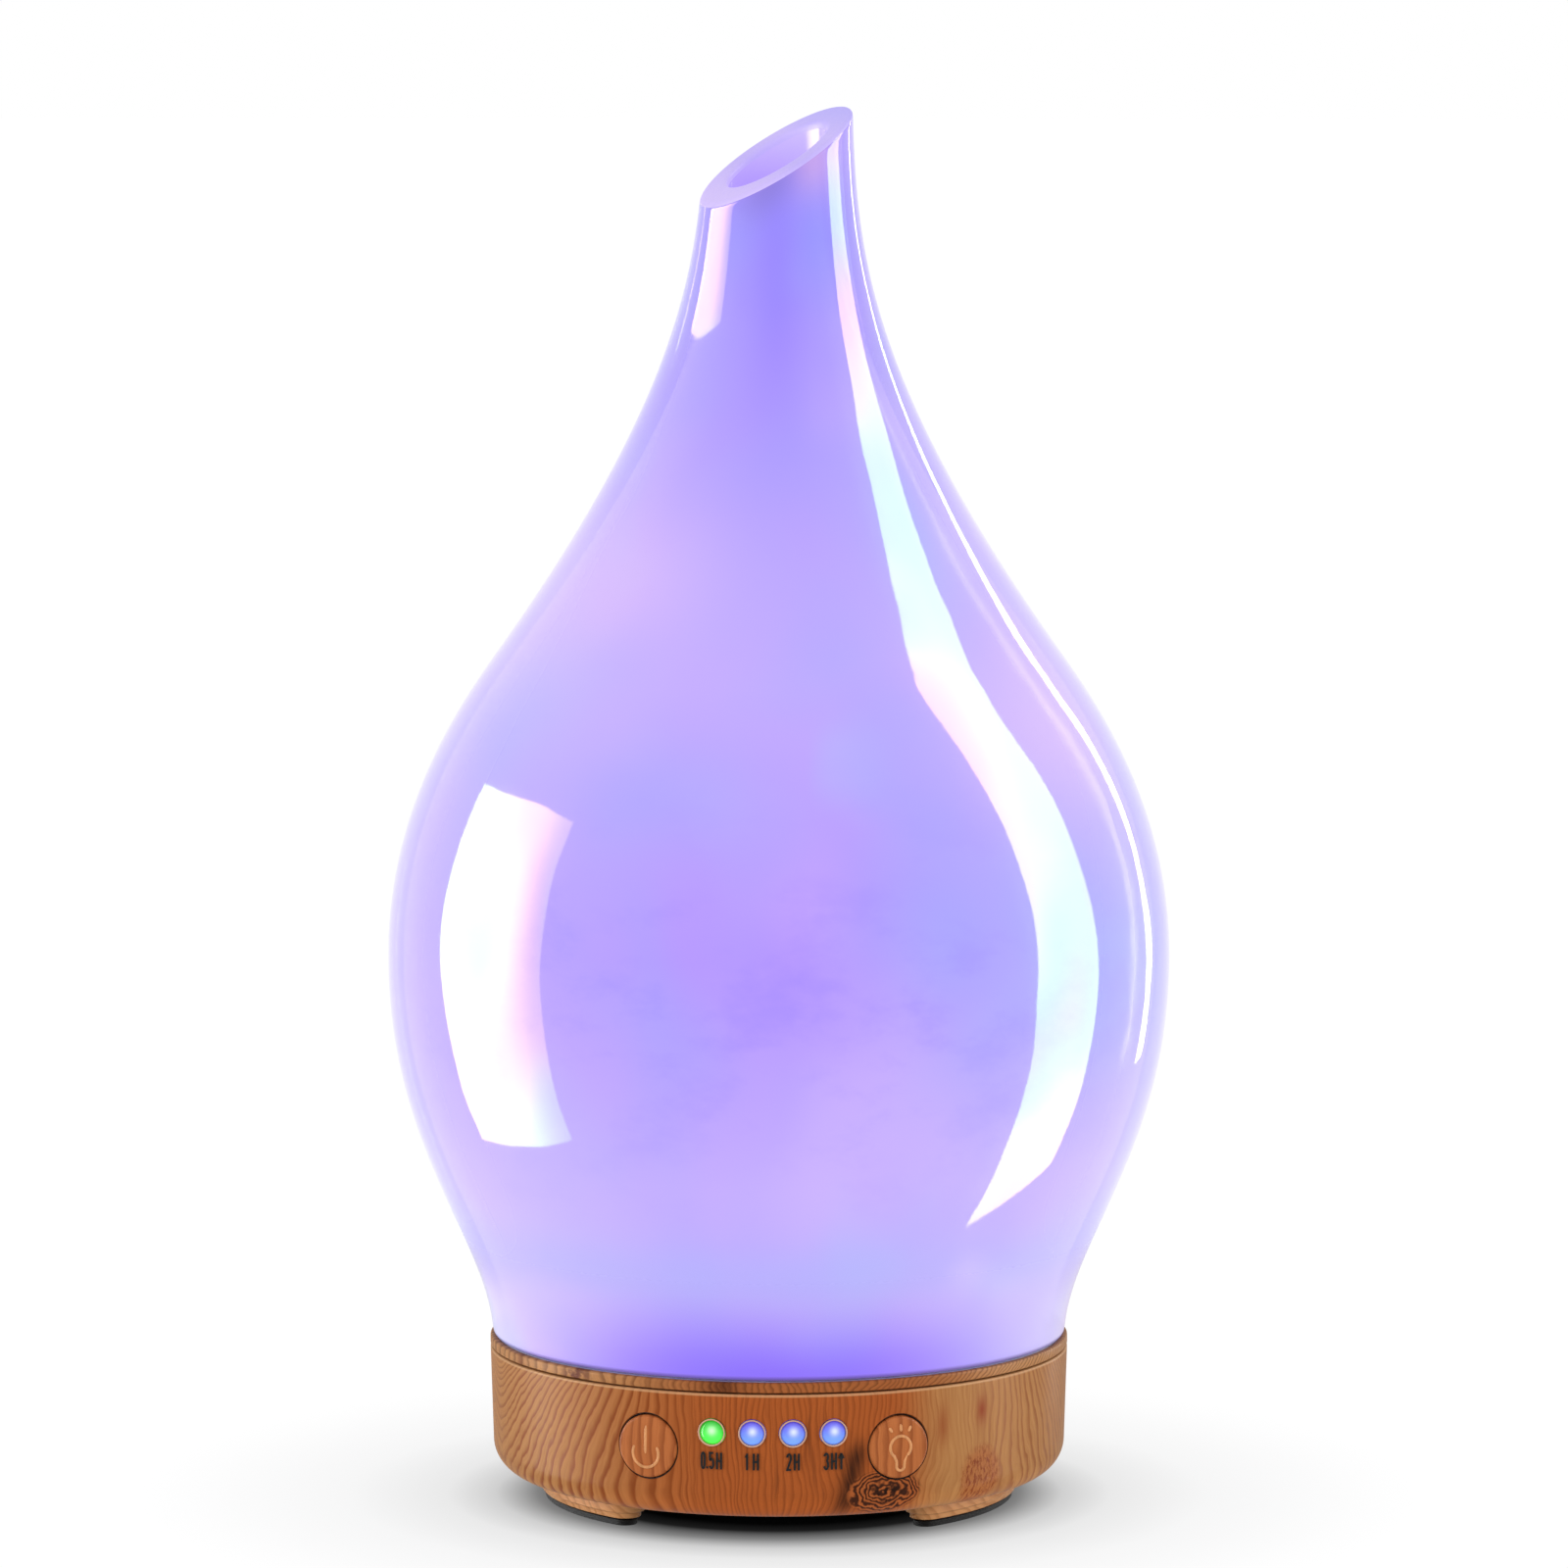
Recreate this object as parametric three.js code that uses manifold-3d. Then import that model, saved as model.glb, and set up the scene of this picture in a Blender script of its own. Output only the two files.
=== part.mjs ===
// Cool mist humidifier: a blown-glass cover with a slanted spout on a low round base.
// Millimetres, +Z up. The origin is on the table, on the cover's axis, and the controls face -Y.

import * as THREE from 'three';
import { mergeVertices } from 'three/addons/utils/BufferGeometryUtils.js';
import Module from 'manifold-3d';

const wasm = await Module();
wasm.setup();

const DEG = Math.PI / 180;

// ---- Driving dimensions ----

const GAP = 0.3; // clearance between neighbouring pieces
const CUT = 1; // how far a cutter runs past the face that it opens
const ROUND_SIDES = 32; // facets around the large round pieces

// Levels of the base, from the table up
const PAD_TOP = 1.0;
const FOOT_BOTTOM = PAD_TOP + GAP;
const BOTTOM_LEVEL = 4.5; // underside of the bottom cover and lower rim of the housing
const FOOT_TOP = BOTTOM_LEVEL - GAP;
const COVER_TOP = BOTTOM_LEVEL + 2;
const HOUSING_TOP = 26.3;
const SEAT_BOTTOM = HOUSING_TOP + GAP;
const SEAT_TOP = 28.3;
const GLASS_FOOT = SEAT_TOP + GAP;

// Base housing
const BASE_RADIUS = 50;
const BASE_RIM_RADIUS = 44; // where the rounded lower edge meets the flat rim
const LOWER_EDGE_ROUNDING = 5.5;
const EDGE_CHAMFER = 0.3;
const BASE_OPENING_RADIUS = 42.3;
const HOUSING_WALL = 2.4;
const DECK_THICKNESS = 2.1;
const DECK_INNER_RADIUS = 43;

// Silicone seals and the grooves that hold them
const GROOVE_DEPTH = 1;
const GLASS_GROOVE = { inner: 47.2, outer: 48.9 };
const TANK_GROOVE = { inner: 43.9, outer: 45.9 };

// Controls, all on radial axes; azimuth 0 is the front (-Y) and grows towards +X.
// Their lengths are distances from the Z axis.
const BUTTON_AZIMUTH = 25.2;
const BUTTON_HEIGHT = 16.6;
const BUTTON_RADIUS = 5.35;
const BUTTON_HOLE_RADIUS = BUTTON_RADIUS + GAP;
const BUTTON_FLANGE = { radius: 6.3, back: 46, front: 46.7 };
const BUTTON_STEM = { radius: 1.5, end: 44.5 };
const BUTTON_EDGE = 49.6;
const BUTTON_CROWN = 50.55;
const SWITCH_SIZE = 6;
const SWITCH_DEPTH = 4;
const SWITCH_FRONT = 42.5;
const PLUNGER_RADIUS = 1.6;
const PLUNGER_BACK = 42;
const PLUNGER_POCKET = PLUNGER_BACK - 0.9; // leaves room for the button's travel
const TIMER_AZIMUTHS = [-1.5, -0.5, 0.5, 1.5].map((step) => step * 7.92);
const TIMER_HEIGHT = 19.7;
const LENS_RADIUS = 2.05;
const LENS_HOLE_RADIUS = LENS_RADIUS + GAP;
const LENS_FLANGE = { radius: 2.7, back: 46.2, front: 46.9 };
const LENS_EDGE = 49.75;
const LENS_CROWN = 50.3;
const LED_RADIUS = 1.5;
const LED_BACK = 41;
const LED_FRONT = LENS_FLANGE.back - GAP;
const HOLDER = { inner: 41.2, outer: 44.2, top: 21.9, halfAngle: 15 };

// Seat ring and tank flange
const SEAT_INNER_RADIUS = 46.3;
const FLANGE_RADIUS = SEAT_INNER_RADIUS - GAP;

// Glass cover: three stretches of its outside, each as [radius, height] control points
const GLASS_BLANK_TOP = 242; // the cover's height before its spout is cut
const GLASS_OUTLINE = [
  [[49.5, GLASS_FOOT], [50.6, 45.6], [67.4, 60.5], [67.4, 94]],
  [[67.4, 94], [67.4, 120.5], [54.1, 138.7], [47.5, 148]],
  [[47.5, 148], [13.4, 196.4], [13.3, 218.3], [12.6, GLASS_BLANK_TOP]],
];
const GLASS_WALL = 2.6;
const LIP_WALL = 4.6;
const THICKENING_START = 150;
const THICKENING_END = 226;
const SPOUT_CENTRE_HEIGHT = 232.4;
const SPOUT_SLOPE = 32.2 * DEG;
const SPOUT_RISE_DIRECTION = 27.1 * DEG; // from +X towards +Y
const SPOUT_CUT_SIZE = 60;

// Water tank
const TANK_RADIUS = 41;
const TANK_WALL = 2;
const TANK_BOTTOM = 21.2;
const TANK_FLOOR = 23.2;
const TANK_TOP = 76;
const TANK_THROAT_RADIUS = 8.6;
const TANK_LIP = { inner: 43.2, outer: 45.6, top: 31.8, taper: 0.4 };
const BOSS_CIRCLE = 38;
const BOSS_ANGLES = [-90, 30, 150];
const BOSS_BOTTOM = 8.3;
const BOSS_RADIUS = 2.6;
const BOSS_PILOT = { radius: 1.6, end: 18 };

// Transducer under the middle of the tank
const DISC = { radius: 10, bottom: 18.6, top: 20 };
const SOCKET_BOTTOM = 17.3;
const SOCKET_RADIUS = 12.5;
const SOCKET_WALL = 2;
const RETAINER = { top: SOCKET_BOTTOM - GAP, bottom: 15.2, radius: 15, hole: 7 };
const EAR_CIRCLE = 16.4;
const EAR_ANGLES = [60, 180, 300];
const EAR_RADIUS = 3.2;
const EAR_BOSS_RADIUS = 2.6;
const EAR_PILOT_RADIUS = 1.2;

// Inner cover with its mist chimney
const CHIMNEY_RADIUS = 9;
const CHIMNEY_BORE_RADIUS = 7;
const CHIMNEY_TOP = 108;
const INNER_COVER_WALL = 1.8;
const SKIRT_BOTTOM = 72;
const SKIRT_INNER_RADIUS = TANK_RADIUS + 0.4;
const CROWN_START = 80;
const CROWN_TOP = 94;
const LEDGE_INNER_RADIUS = 38.6;

// Fan and air duct, on the right of the axis
const FAN_X = 28;
const FAN_SIZE = 25;
const FAN_BOTTOM = 7;
const FAN_TOP = 14;
const FAN_BORE_RADIUS = 11.3;
const FAN_HUB_RADIUS = 5.5;
const FAN_PLATE = 1.3;
const FAN_SHAFT_RADIUS = 0.9;
const BLADE = { count: 7, length: 6, chord: 5.2, thickness: 0.7, pitch: 38 * DEG, root: 4.8 };
const DUCT_RADIUS = 7;
const DUCT_BORE_RADIUS = 5.7;
const DUCT_TOP = 68;
const DUCT_SLANT = 30 * DEG;
const HORN = { inner: 11, outer: 12, rim: 1, top: 20 };
const DUCT_HOLE_RADIUS = 9.2;
const COLLAR_WALL = 2.4;
const COLLAR_TOP = 28;

// Boards
const BOARD_THICKNESS = 1.6;
const DRIVER_BOARD = { bottom: 9, x: -7, width: 42, depth: 56 };
const ON_DRIVER = DRIVER_BOARD.bottom + BOARD_THICKNESS + GAP;
const CONTROL_BOARD = { bottom: 11.4, inner: 34, outer: 44.5, halfAngle: 36 };
const GLOW_BOARD = { bottom: 18, top: 19, inner: 22, outer: 34.8, from: 35, to: 325 };
const GLOW_LED = { circle: 28.5, size: 3.5, height: 1.1, angles: [60, 108, 156, 204, 252, 300] };

// DC socket at the back
const JACK_HEIGHT = 14;
const JACK_BODY = { back: 35.2, front: 46.2, width: 9, height: 9.4 };
const JACK_NOSE = { radius: 4, face: 49.2 };
const JACK_BORE = { radius: 3.2, end: 38 };
const JACK_PIN = { radius: 1, tip: 44.6 };

// Feet: three arcs with pegs in the bottom cover
const FOOT_CENTRES = [-153.5, -26.5, 90];
const FOOT_HALF_ANGLE = 27;
const FOOT_INNER_RADIUS = 35;
const FOOT_OUTER_RADIUS = 42;
const FOOT_STEP = 0.8; // the lower half of a foot is this much narrower all round
const PAD_INSET = 1.4;
const PEG_RADIUS = 1.3;
const PEG_CIRCLE = 38.5;
const PEG_ANGLE = 16;

// ---- Materials ----

function material(color, roughness, metalness = 0) {
  return new THREE.MeshStandardMaterial({ color, roughness, metalness });
}

const frostedGlass = material(0xd5ccff, 0.15);
const woodPrint = material(0xb98550, 0.45);
const woodPrintCap = material(0xa87545, 0.45);
const blackPlastic = material(0x17171a, 0.6);
const whitePlastic = material(0xf0f1f4, 0.4);
const blackRubber = material(0x141414, 0.9);
const silicone = material(0xe4e4ea, 0.6);
const greenBoard = material(0x1d6b3c, 0.5);
const whiteBoard = material(0xe6e8ea, 0.5);
const steel = material(0xb9bcc0, 0.35, 1);
const aluminium = material(0xc4c6ca, 0.45, 1);
const copper = material(0xb06a3a, 0.4, 1);
const brass = material(0xc9a557, 0.35, 1);
const greenLens = material(0x39e36a, 0.15);
const violetLens = material(0x6a5fd8, 0.15);
const ledResin = material(0xeef2f5, 0.2);
const blueSleeve = material(0x24407a, 0.5);
const redWire = material(0xb3261e, 0.6);
const whiteWire = material(0xd9d9d9, 0.6);

// ---- Shape helpers ----

// Merges shared vertices and drops triangles without area, so that the mesh is one closed surface.
function closedGeometry(source) {
  const bare = source.clone();
  bare.deleteAttribute('normal');
  bare.deleteAttribute('uv');
  const merged = mergeVertices(bare, 1e-4);
  const corners = merged.index.array;
  const kept = [];
  for (let i = 0; i < corners.length; i += 3) {
    const [a, b, c] = [corners[i], corners[i + 1], corners[i + 2]];
    if (a !== b && b !== c && c !== a) kept.push(a, b, c);
  }
  merged.setIndex(kept);
  return merged;
}

function toSolid(geometry) {
  const closed = closedGeometry(geometry);
  const vertProperties = Float32Array.from(closed.attributes.position.array);
  const triVerts = Uint32Array.from(closed.index.array);
  return new wasm.Manifold(new wasm.Mesh({ numProp: 3, vertProperties, triVerts }));
}

function toGeometry(solid) {
  const { vertProperties, triVerts } = solid.getMesh();
  const geometry = new THREE.BufferGeometry();
  geometry.setAttribute('position', new THREE.BufferAttribute(Float32Array.from(vertProperties), 3));
  geometry.setIndex(new THREE.BufferAttribute(Uint32Array.from(triVerts), 1));
  geometry.computeVertexNormals();
  return geometry;
}

// Joins the geometries in `added` and cuts those in `removed` out of them.
function combine(added, removed = []) {
  let solid = toSolid(added[0]);
  for (const geometry of added.slice(1)) solid = solid.add(toSolid(geometry));
  for (const geometry of removed) solid = solid.subtract(toSolid(geometry));
  return toGeometry(solid);
}

// Turns a profile of [radius, height] corners about the Z axis; the profile runs anticlockwise.
function turned(profile, segments) {
  const closes = profile[0][0] > 0 || profile[profile.length - 1][0] > 0;
  const corners = closes ? [...profile, profile[0]] : profile;
  const points = corners.map(([radius, height]) => new THREE.Vector2(radius, height));
  return closedGeometry(new THREE.LatheGeometry(points, segments).rotateX(Math.PI / 2));
}

// The same, about the radial axis of a control: heights are distances from the Z axis towards -Y.
function turnedOutward(profile, segments) {
  return turned(profile, segments).rotateX(Math.PI / 2);
}

function rodProfile(radius, low, high) {
  return [[0, low], [radius, low], [radius, high], [0, high]];
}

function rod(radius, low, high, segments = 16) {
  return turned(rodProfile(radius, low, high), segments);
}

function rodOutward(radius, low, high, segments = 16) {
  return turnedOutward(rodProfile(radius, low, high), segments);
}

function ring(inner, outer, low, high, segments = ROUND_SIDES) {
  return turned([[inner, low], [outer, low], [outer, high], [inner, high]], segments);
}

function block(width, depth, low, high) {
  return new THREE.BoxGeometry(width, depth, high - low).translate(0, 0, (low + high) / 2);
}

function extruded(shape, low, high, curveSegments = 12) {
  const options = { depth: high - low, bevelEnabled: false, curveSegments };
  return new THREE.ExtrudeGeometry(shape, options).translate(0, 0, low);
}

// A flat arc between two radii and two angles in degrees, with square ends.
function arcShape(inner, outer, from, to) {
  const shape = new THREE.Shape();
  shape.absarc(0, 0, outer, from * DEG, to * DEG, false);
  shape.absarc(0, 0, inner, to * DEG, from * DEG, true);
  shape.closePath();
  return shape;
}

// Corners of a quarter round from the lowest point of a circle out to its widest point.
function lowerQuarter(centreRadius, centreHeight, rounding, steps) {
  const corners = [];
  for (let i = 0; i <= steps; i += 1) {
    const angle = (i / steps) * 90 * DEG;
    corners.push([centreRadius + rounding * Math.sin(angle), centreHeight - rounding * Math.cos(angle)]);
  }
  return corners;
}

// Corners of a dome from its widest point up and in to its level top.
function upperQuarter(fromRadius, fromHeight, toRadius, toHeight, steps) {
  const corners = [];
  for (let i = 0; i <= steps; i += 1) {
    const angle = (i / steps) * 90 * DEG;
    corners.push([
      toRadius + (fromRadius - toRadius) * Math.cos(angle),
      fromHeight + (toHeight - fromHeight) * Math.sin(angle),
    ]);
  }
  return corners;
}

function at(geometry, x, y, z = 0) {
  return geometry.clone().translate(x, y, z);
}

function onCircle(geometry, radius, degrees) {
  return at(geometry, radius * Math.cos(degrees * DEG), radius * Math.sin(degrees * DEG));
}

function towards(geometry, azimuth, height) {
  return geometry.clone().rotateZ(azimuth * DEG).translate(0, 0, height);
}

function tube(points, radius, steps) {
  const path = new THREE.CatmullRomCurve3(points.map((point) => new THREE.Vector3(...point)));
  const section = new THREE.Shape().absarc(0, 0, radius, 0, 2 * Math.PI, false);
  return new THREE.ExtrudeGeometry(section, { extrudePath: path, steps, curveSegments: 4 });
}

// A screw pointing up, with its head's underside at `seat`.
function screw(headRadius, headHeight, shankRadius, seat, tip) {
  return turned([
    [0, seat - headHeight],
    [headRadius * 0.75, seat - headHeight],
    [headRadius, seat - headHeight * 0.6],
    [headRadius, seat],
    [shankRadius, seat],
    [shankRadius, tip - shankRadius],
    [0, tip],
  ], 8);
}

// ---- The assembly ----

const humidifier = new THREE.Group();
humidifier.name = 'cool_mist_humidifier';

function place(name, geometry, finish, parent = humidifier) {
  const mesh = new THREE.Mesh(geometry, finish);
  mesh.name = name;
  parent.add(mesh);
  return mesh;
}

// ---- Glass cover ----

function wallAt(height) {
  return THREE.MathUtils.mapLinear(
    THREE.MathUtils.clamp(height, THICKENING_START, THICKENING_END),
    THICKENING_START, THICKENING_END, GLASS_WALL, LIP_WALL);
}

function glassCover() {
  const stepsPerStretch = 5;
  const outside = [];
  const inside = [];
  GLASS_OUTLINE.forEach((controls, index) => {
    const stretch = new THREE.CubicBezierCurve(...controls.map((point) => new THREE.Vector2(...point)));
    for (let i = index === 0 ? 0 : 1; i <= stepsPerStretch; i += 1) {
      const point = stretch.getPoint(i / stepsPerStretch);
      const direction = stretch.getTangent(i / stepsPerStretch);
      const wall = wallAt(point.y);
      outside.push([point.x, point.y]);
      inside.push([point.x - wall * direction.y, point.y + wall * direction.x]);
    }
  });
  inside[0][1] = GLASS_FOOT;
  inside[inside.length - 1][1] = GLASS_BLANK_TOP;
  const blank = turned([...outside, ...inside.reverse()], ROUND_SIDES);
  const spoutCut = new THREE.BoxGeometry(SPOUT_CUT_SIZE, SPOUT_CUT_SIZE, SPOUT_CUT_SIZE);
  spoutCut.translate(0, 0, SPOUT_CUT_SIZE / 2);
  spoutCut.rotateY(-SPOUT_SLOPE);
  spoutCut.rotateZ(SPOUT_RISE_DIRECTION);
  spoutCut.translate(0, 0, SPOUT_CENTRE_HEIGHT);
  return combine([blank], [spoutCut]);
}

place('glass_cover', glassCover(), frostedGlass);

// ---- Seat ring and its silicone ring ----

// Corners across a groove, from its outer edge to its inner one, in a face at height `top`.
function grooveCorners(groove, top) {
  return [
    [groove.outer, top],
    [groove.outer, top - GROOVE_DEPTH],
    [groove.inner, top - GROOVE_DEPTH],
    [groove.inner, top],
  ];
}

function sealIn(groove, top) {
  return ring(groove.inner + GAP, groove.outer - GAP, top - GROOVE_DEPTH + GAP, top);
}

place('seat_ring', turned([
  [SEAT_INNER_RADIUS, SEAT_BOTTOM],
  [BASE_RADIUS, SEAT_BOTTOM],
  [BASE_RADIUS, SEAT_TOP - EDGE_CHAMFER],
  [BASE_RADIUS - EDGE_CHAMFER, SEAT_TOP],
  ...grooveCorners(GLASS_GROOVE, SEAT_TOP),
  [SEAT_INNER_RADIUS, SEAT_TOP],
], ROUND_SIDES), woodPrint);

place('glass_seat_gasket', sealIn(GLASS_GROOVE, SEAT_TOP), silicone);

// ---- Base housing ----

function baseHousing() {
  const innerRadius = BASE_RADIUS - HOUSING_WALL;
  const outerEdge = lowerQuarter(
    BASE_RIM_RADIUS, BOTTOM_LEVEL + LOWER_EDGE_ROUNDING, LOWER_EDGE_ROUNDING, 5);
  const innerRounding = innerRadius - BASE_OPENING_RADIUS;
  const innerEdge = lowerQuarter(BASE_OPENING_RADIUS, COVER_TOP + innerRounding, innerRounding, 3);
  const shell = turned([
    [BASE_OPENING_RADIUS, BOTTOM_LEVEL],
    ...outerEdge,
    [BASE_RADIUS, HOUSING_TOP - EDGE_CHAMFER],
    [BASE_RADIUS - EDGE_CHAMFER, HOUSING_TOP],
    ...grooveCorners(TANK_GROOVE, HOUSING_TOP),
    [DECK_INNER_RADIUS, HOUSING_TOP],
    [DECK_INNER_RADIUS, HOUSING_TOP - DECK_THICKNESS],
    [innerRadius, HOUSING_TOP - DECK_THICKNESS],
    ...innerEdge.reverse(),
  ], ROUND_SIDES);
  const cutter = (radius, sides) => rodOutward(radius, innerRadius - 2, BASE_RADIUS + CUT, sides);
  const holes = [towards(cutter(JACK_NOSE.radius + GAP, 16), 180, JACK_HEIGHT)];
  for (const side of [-1, 1]) {
    holes.push(towards(cutter(BUTTON_HOLE_RADIUS, 16), side * BUTTON_AZIMUTH, BUTTON_HEIGHT));
  }
  for (const azimuth of TIMER_AZIMUTHS) {
    holes.push(towards(cutter(LENS_HOLE_RADIUS, 12), azimuth, TIMER_HEIGHT));
  }
  return combine([shell], holes);
}

place('base_housing', baseHousing(), woodPrint);

// ---- Buttons, switches and plungers ----

function buttonCap() {
  return turnedOutward([
    [0, BUTTON_STEM.end],
    [BUTTON_STEM.radius, BUTTON_STEM.end],
    [BUTTON_STEM.radius, BUTTON_FLANGE.back],
    [BUTTON_FLANGE.radius, BUTTON_FLANGE.back],
    [BUTTON_FLANGE.radius, BUTTON_FLANGE.front],
    [BUTTON_RADIUS, BUTTON_FLANGE.front],
    [BUTTON_RADIUS, BUTTON_EDGE],
    [BUTTON_RADIUS - 0.4, BUTTON_EDGE + 0.45],
    [BUTTON_RADIUS * 0.56, BUTTON_CROWN - 0.15],
    [0, BUTTON_CROWN],
  ], 16);
}

function switchBody() {
  const body = new THREE.BoxGeometry(SWITCH_SIZE, SWITCH_DEPTH, SWITCH_SIZE);
  body.translate(0, -(SWITCH_FRONT - SWITCH_DEPTH / 2), 0);
  return combine([body], [rodOutward(PLUNGER_RADIUS + GAP, PLUNGER_POCKET, SWITCH_FRONT + CUT)]);
}

for (const [name, side] of [['mist', -1], ['light', 1]]) {
  const control = new THREE.Group();
  control.position.z = BUTTON_HEIGHT;
  control.rotation.z = side * BUTTON_AZIMUTH * DEG;
  humidifier.add(control);
  place(`${name}_button`, buttonCap(), woodPrintCap, control);
  place(`${name}_switch`, switchBody(), blackPlastic, control);
  const plunger = rodOutward(PLUNGER_RADIUS, PLUNGER_BACK, BUTTON_STEM.end - GAP, 12);
  place(`${name}_plunger`, plunger, whitePlastic, control);
}

// ---- Timer lenses, their LEDs and the LED holder ----

function timerLens() {
  return turnedOutward([
    [0, LENS_FLANGE.back],
    [LENS_FLANGE.radius, LENS_FLANGE.back],
    [LENS_FLANGE.radius, LENS_FLANGE.front],
    [LENS_RADIUS, LENS_FLANGE.front],
    [LENS_RADIUS, LENS_EDGE],
    [LENS_RADIUS * 0.73, LENS_CROWN - 0.2],
    [0, LENS_CROWN],
  ], 12);
}

function timerLed() {
  return turnedOutward([
    [0, LED_BACK],
    [LED_RADIUS, LED_BACK],
    [LED_RADIUS, LED_FRONT - LED_RADIUS / 2],
    [LED_RADIUS * 0.7, LED_FRONT - LED_RADIUS / 5],
    [0, LED_FRONT],
  ], 12);
}

function ledHolder() {
  const shape = arcShape(HOLDER.inner, HOLDER.outer, -90 - HOLDER.halfAngle, -90 + HOLDER.halfAngle);
  const bottom = CONTROL_BOARD.bottom + BOARD_THICKNESS + GAP;
  const hole = rodOutward(LED_RADIUS + GAP, HOLDER.inner - CUT, HOLDER.outer + CUT, 12);
  const holes = TIMER_AZIMUTHS.map((azimuth) => towards(hole, azimuth, TIMER_HEIGHT));
  return combine([extruded(shape, bottom, HOLDER.top, 8)], holes);
}

TIMER_AZIMUTHS.forEach((azimuth, index) => {
  const lamp = new THREE.Group();
  lamp.position.z = TIMER_HEIGHT;
  lamp.rotation.z = azimuth * DEG;
  humidifier.add(lamp);
  place(`timer_lens_${index + 1}`, timerLens(), index === 0 ? greenLens : violetLens, lamp);
  place(`timer_led_${index + 1}`, timerLed(), ledResin, lamp);
});

place('led_holder', ledHolder(), blackPlastic);

// ---- Water tank ----

function waterTank() {
  const inner = TANK_RADIUS - TANK_WALL;
  const intoFloor = TANK_BOTTOM + 0.5; // added pieces run this far up into the floor
  const cup = turned([
    [TANK_THROAT_RADIUS, TANK_BOTTOM],
    [TANK_RADIUS, TANK_BOTTOM],
    [TANK_RADIUS, SEAT_BOTTOM],
    [FLANGE_RADIUS, SEAT_BOTTOM],
    [FLANGE_RADIUS, SEAT_TOP],
    [TANK_LIP.outer, SEAT_TOP],
    [TANK_LIP.outer - TANK_LIP.taper, TANK_LIP.top],
    [TANK_LIP.inner + TANK_LIP.taper, TANK_LIP.top],
    [TANK_LIP.inner, SEAT_TOP],
    [TANK_RADIUS, SEAT_TOP],
    [TANK_RADIUS, TANK_TOP],
    [inner, TANK_TOP],
    [inner, TANK_FLOOR + 2.5],
    [inner - 2, TANK_FLOOR + 0.6],
    [TANK_THROAT_RADIUS + 1, TANK_FLOOR],
    [TANK_THROAT_RADIUS, TANK_FLOOR - 0.4],
  ], ROUND_SIDES);
  const socket = ring(SOCKET_RADIUS, SOCKET_RADIUS + SOCKET_WALL, SOCKET_BOTTOM, intoFloor, 24);
  const collar = ring(DUCT_HOLE_RADIUS - 0.5, DUCT_HOLE_RADIUS + COLLAR_WALL, intoFloor, COLLAR_TOP, 24);
  const added = [cup, socket, at(collar, FAN_X, 0)];
  const removed = [at(rod(DUCT_HOLE_RADIUS, TANK_BOTTOM - CUT, COLLAR_TOP + CUT, 24), FAN_X, 0)];
  for (const angle of BOSS_ANGLES) {
    const pilot = rod(BOSS_PILOT.radius, BOSS_BOTTOM - CUT, BOSS_PILOT.end, 12);
    added.push(onCircle(rod(BOSS_RADIUS, BOSS_BOTTOM, intoFloor, 12), BOSS_CIRCLE, angle));
    removed.push(onCircle(pilot, BOSS_CIRCLE, angle));
  }
  for (const angle of EAR_ANGLES) {
    const pilot = rod(EAR_PILOT_RADIUS, SOCKET_BOTTOM - CUT, TANK_BOTTOM - 0.4, 12);
    added.push(onCircle(rod(EAR_BOSS_RADIUS, SOCKET_BOTTOM, intoFloor, 12), EAR_CIRCLE, angle));
    removed.push(onCircle(pilot, EAR_CIRCLE, angle));
  }
  return combine(added, removed);
}

place('water_tank', waterTank(), whitePlastic);
place('tank_seal', sealIn(TANK_GROOVE, HOUSING_TOP), silicone);

// ---- Inner cover with its mist chimney ----

function innerCover() {
  const ledge = TANK_TOP + GAP;
  const outerRadius = SKIRT_INNER_RADIUS + INNER_COVER_WALL;
  const outside = upperQuarter(outerRadius, CROWN_START, CHIMNEY_RADIUS + 2, CROWN_TOP, 6);
  const inside = upperQuarter(
    LEDGE_INNER_RADIUS, CROWN_START, CHIMNEY_BORE_RADIUS + 2, CROWN_TOP - INNER_COVER_WALL, 5);
  return turned([
    [SKIRT_INNER_RADIUS, SKIRT_BOTTOM],
    [outerRadius, SKIRT_BOTTOM],
    ...outside,
    [CHIMNEY_RADIUS, CROWN_TOP + 1.5],
    [CHIMNEY_RADIUS, CHIMNEY_TOP - 0.5],
    [CHIMNEY_RADIUS - 0.5, CHIMNEY_TOP],
    [CHIMNEY_BORE_RADIUS, CHIMNEY_TOP],
    [CHIMNEY_BORE_RADIUS, CROWN_TOP - 0.5],
    ...inside.reverse(),
    [LEDGE_INNER_RADIUS, ledge],
    [SKIRT_INNER_RADIUS, ledge],
  ], ROUND_SIDES);
}

place('inner_cover', innerCover(), whitePlastic);

// ---- Transducer, its gasket and its retainer ----

place('transducer_gasket', turned([
  [TANK_THROAT_RADIUS, SOCKET_BOTTOM],
  [SOCKET_RADIUS - GAP, SOCKET_BOTTOM],
  [SOCKET_RADIUS - GAP, TANK_BOTTOM - GAP],
  [TANK_THROAT_RADIUS, TANK_BOTTOM - GAP],
  [TANK_THROAT_RADIUS, DISC.top + GAP],
  [DISC.radius + GAP, DISC.top + GAP],
  [DISC.radius + GAP, DISC.bottom - GAP],
  [TANK_THROAT_RADIUS, DISC.bottom - GAP],
], 24), silicone);

place('transducer_disc', rod(DISC.radius, DISC.bottom, DISC.top, 24), brass);

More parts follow.
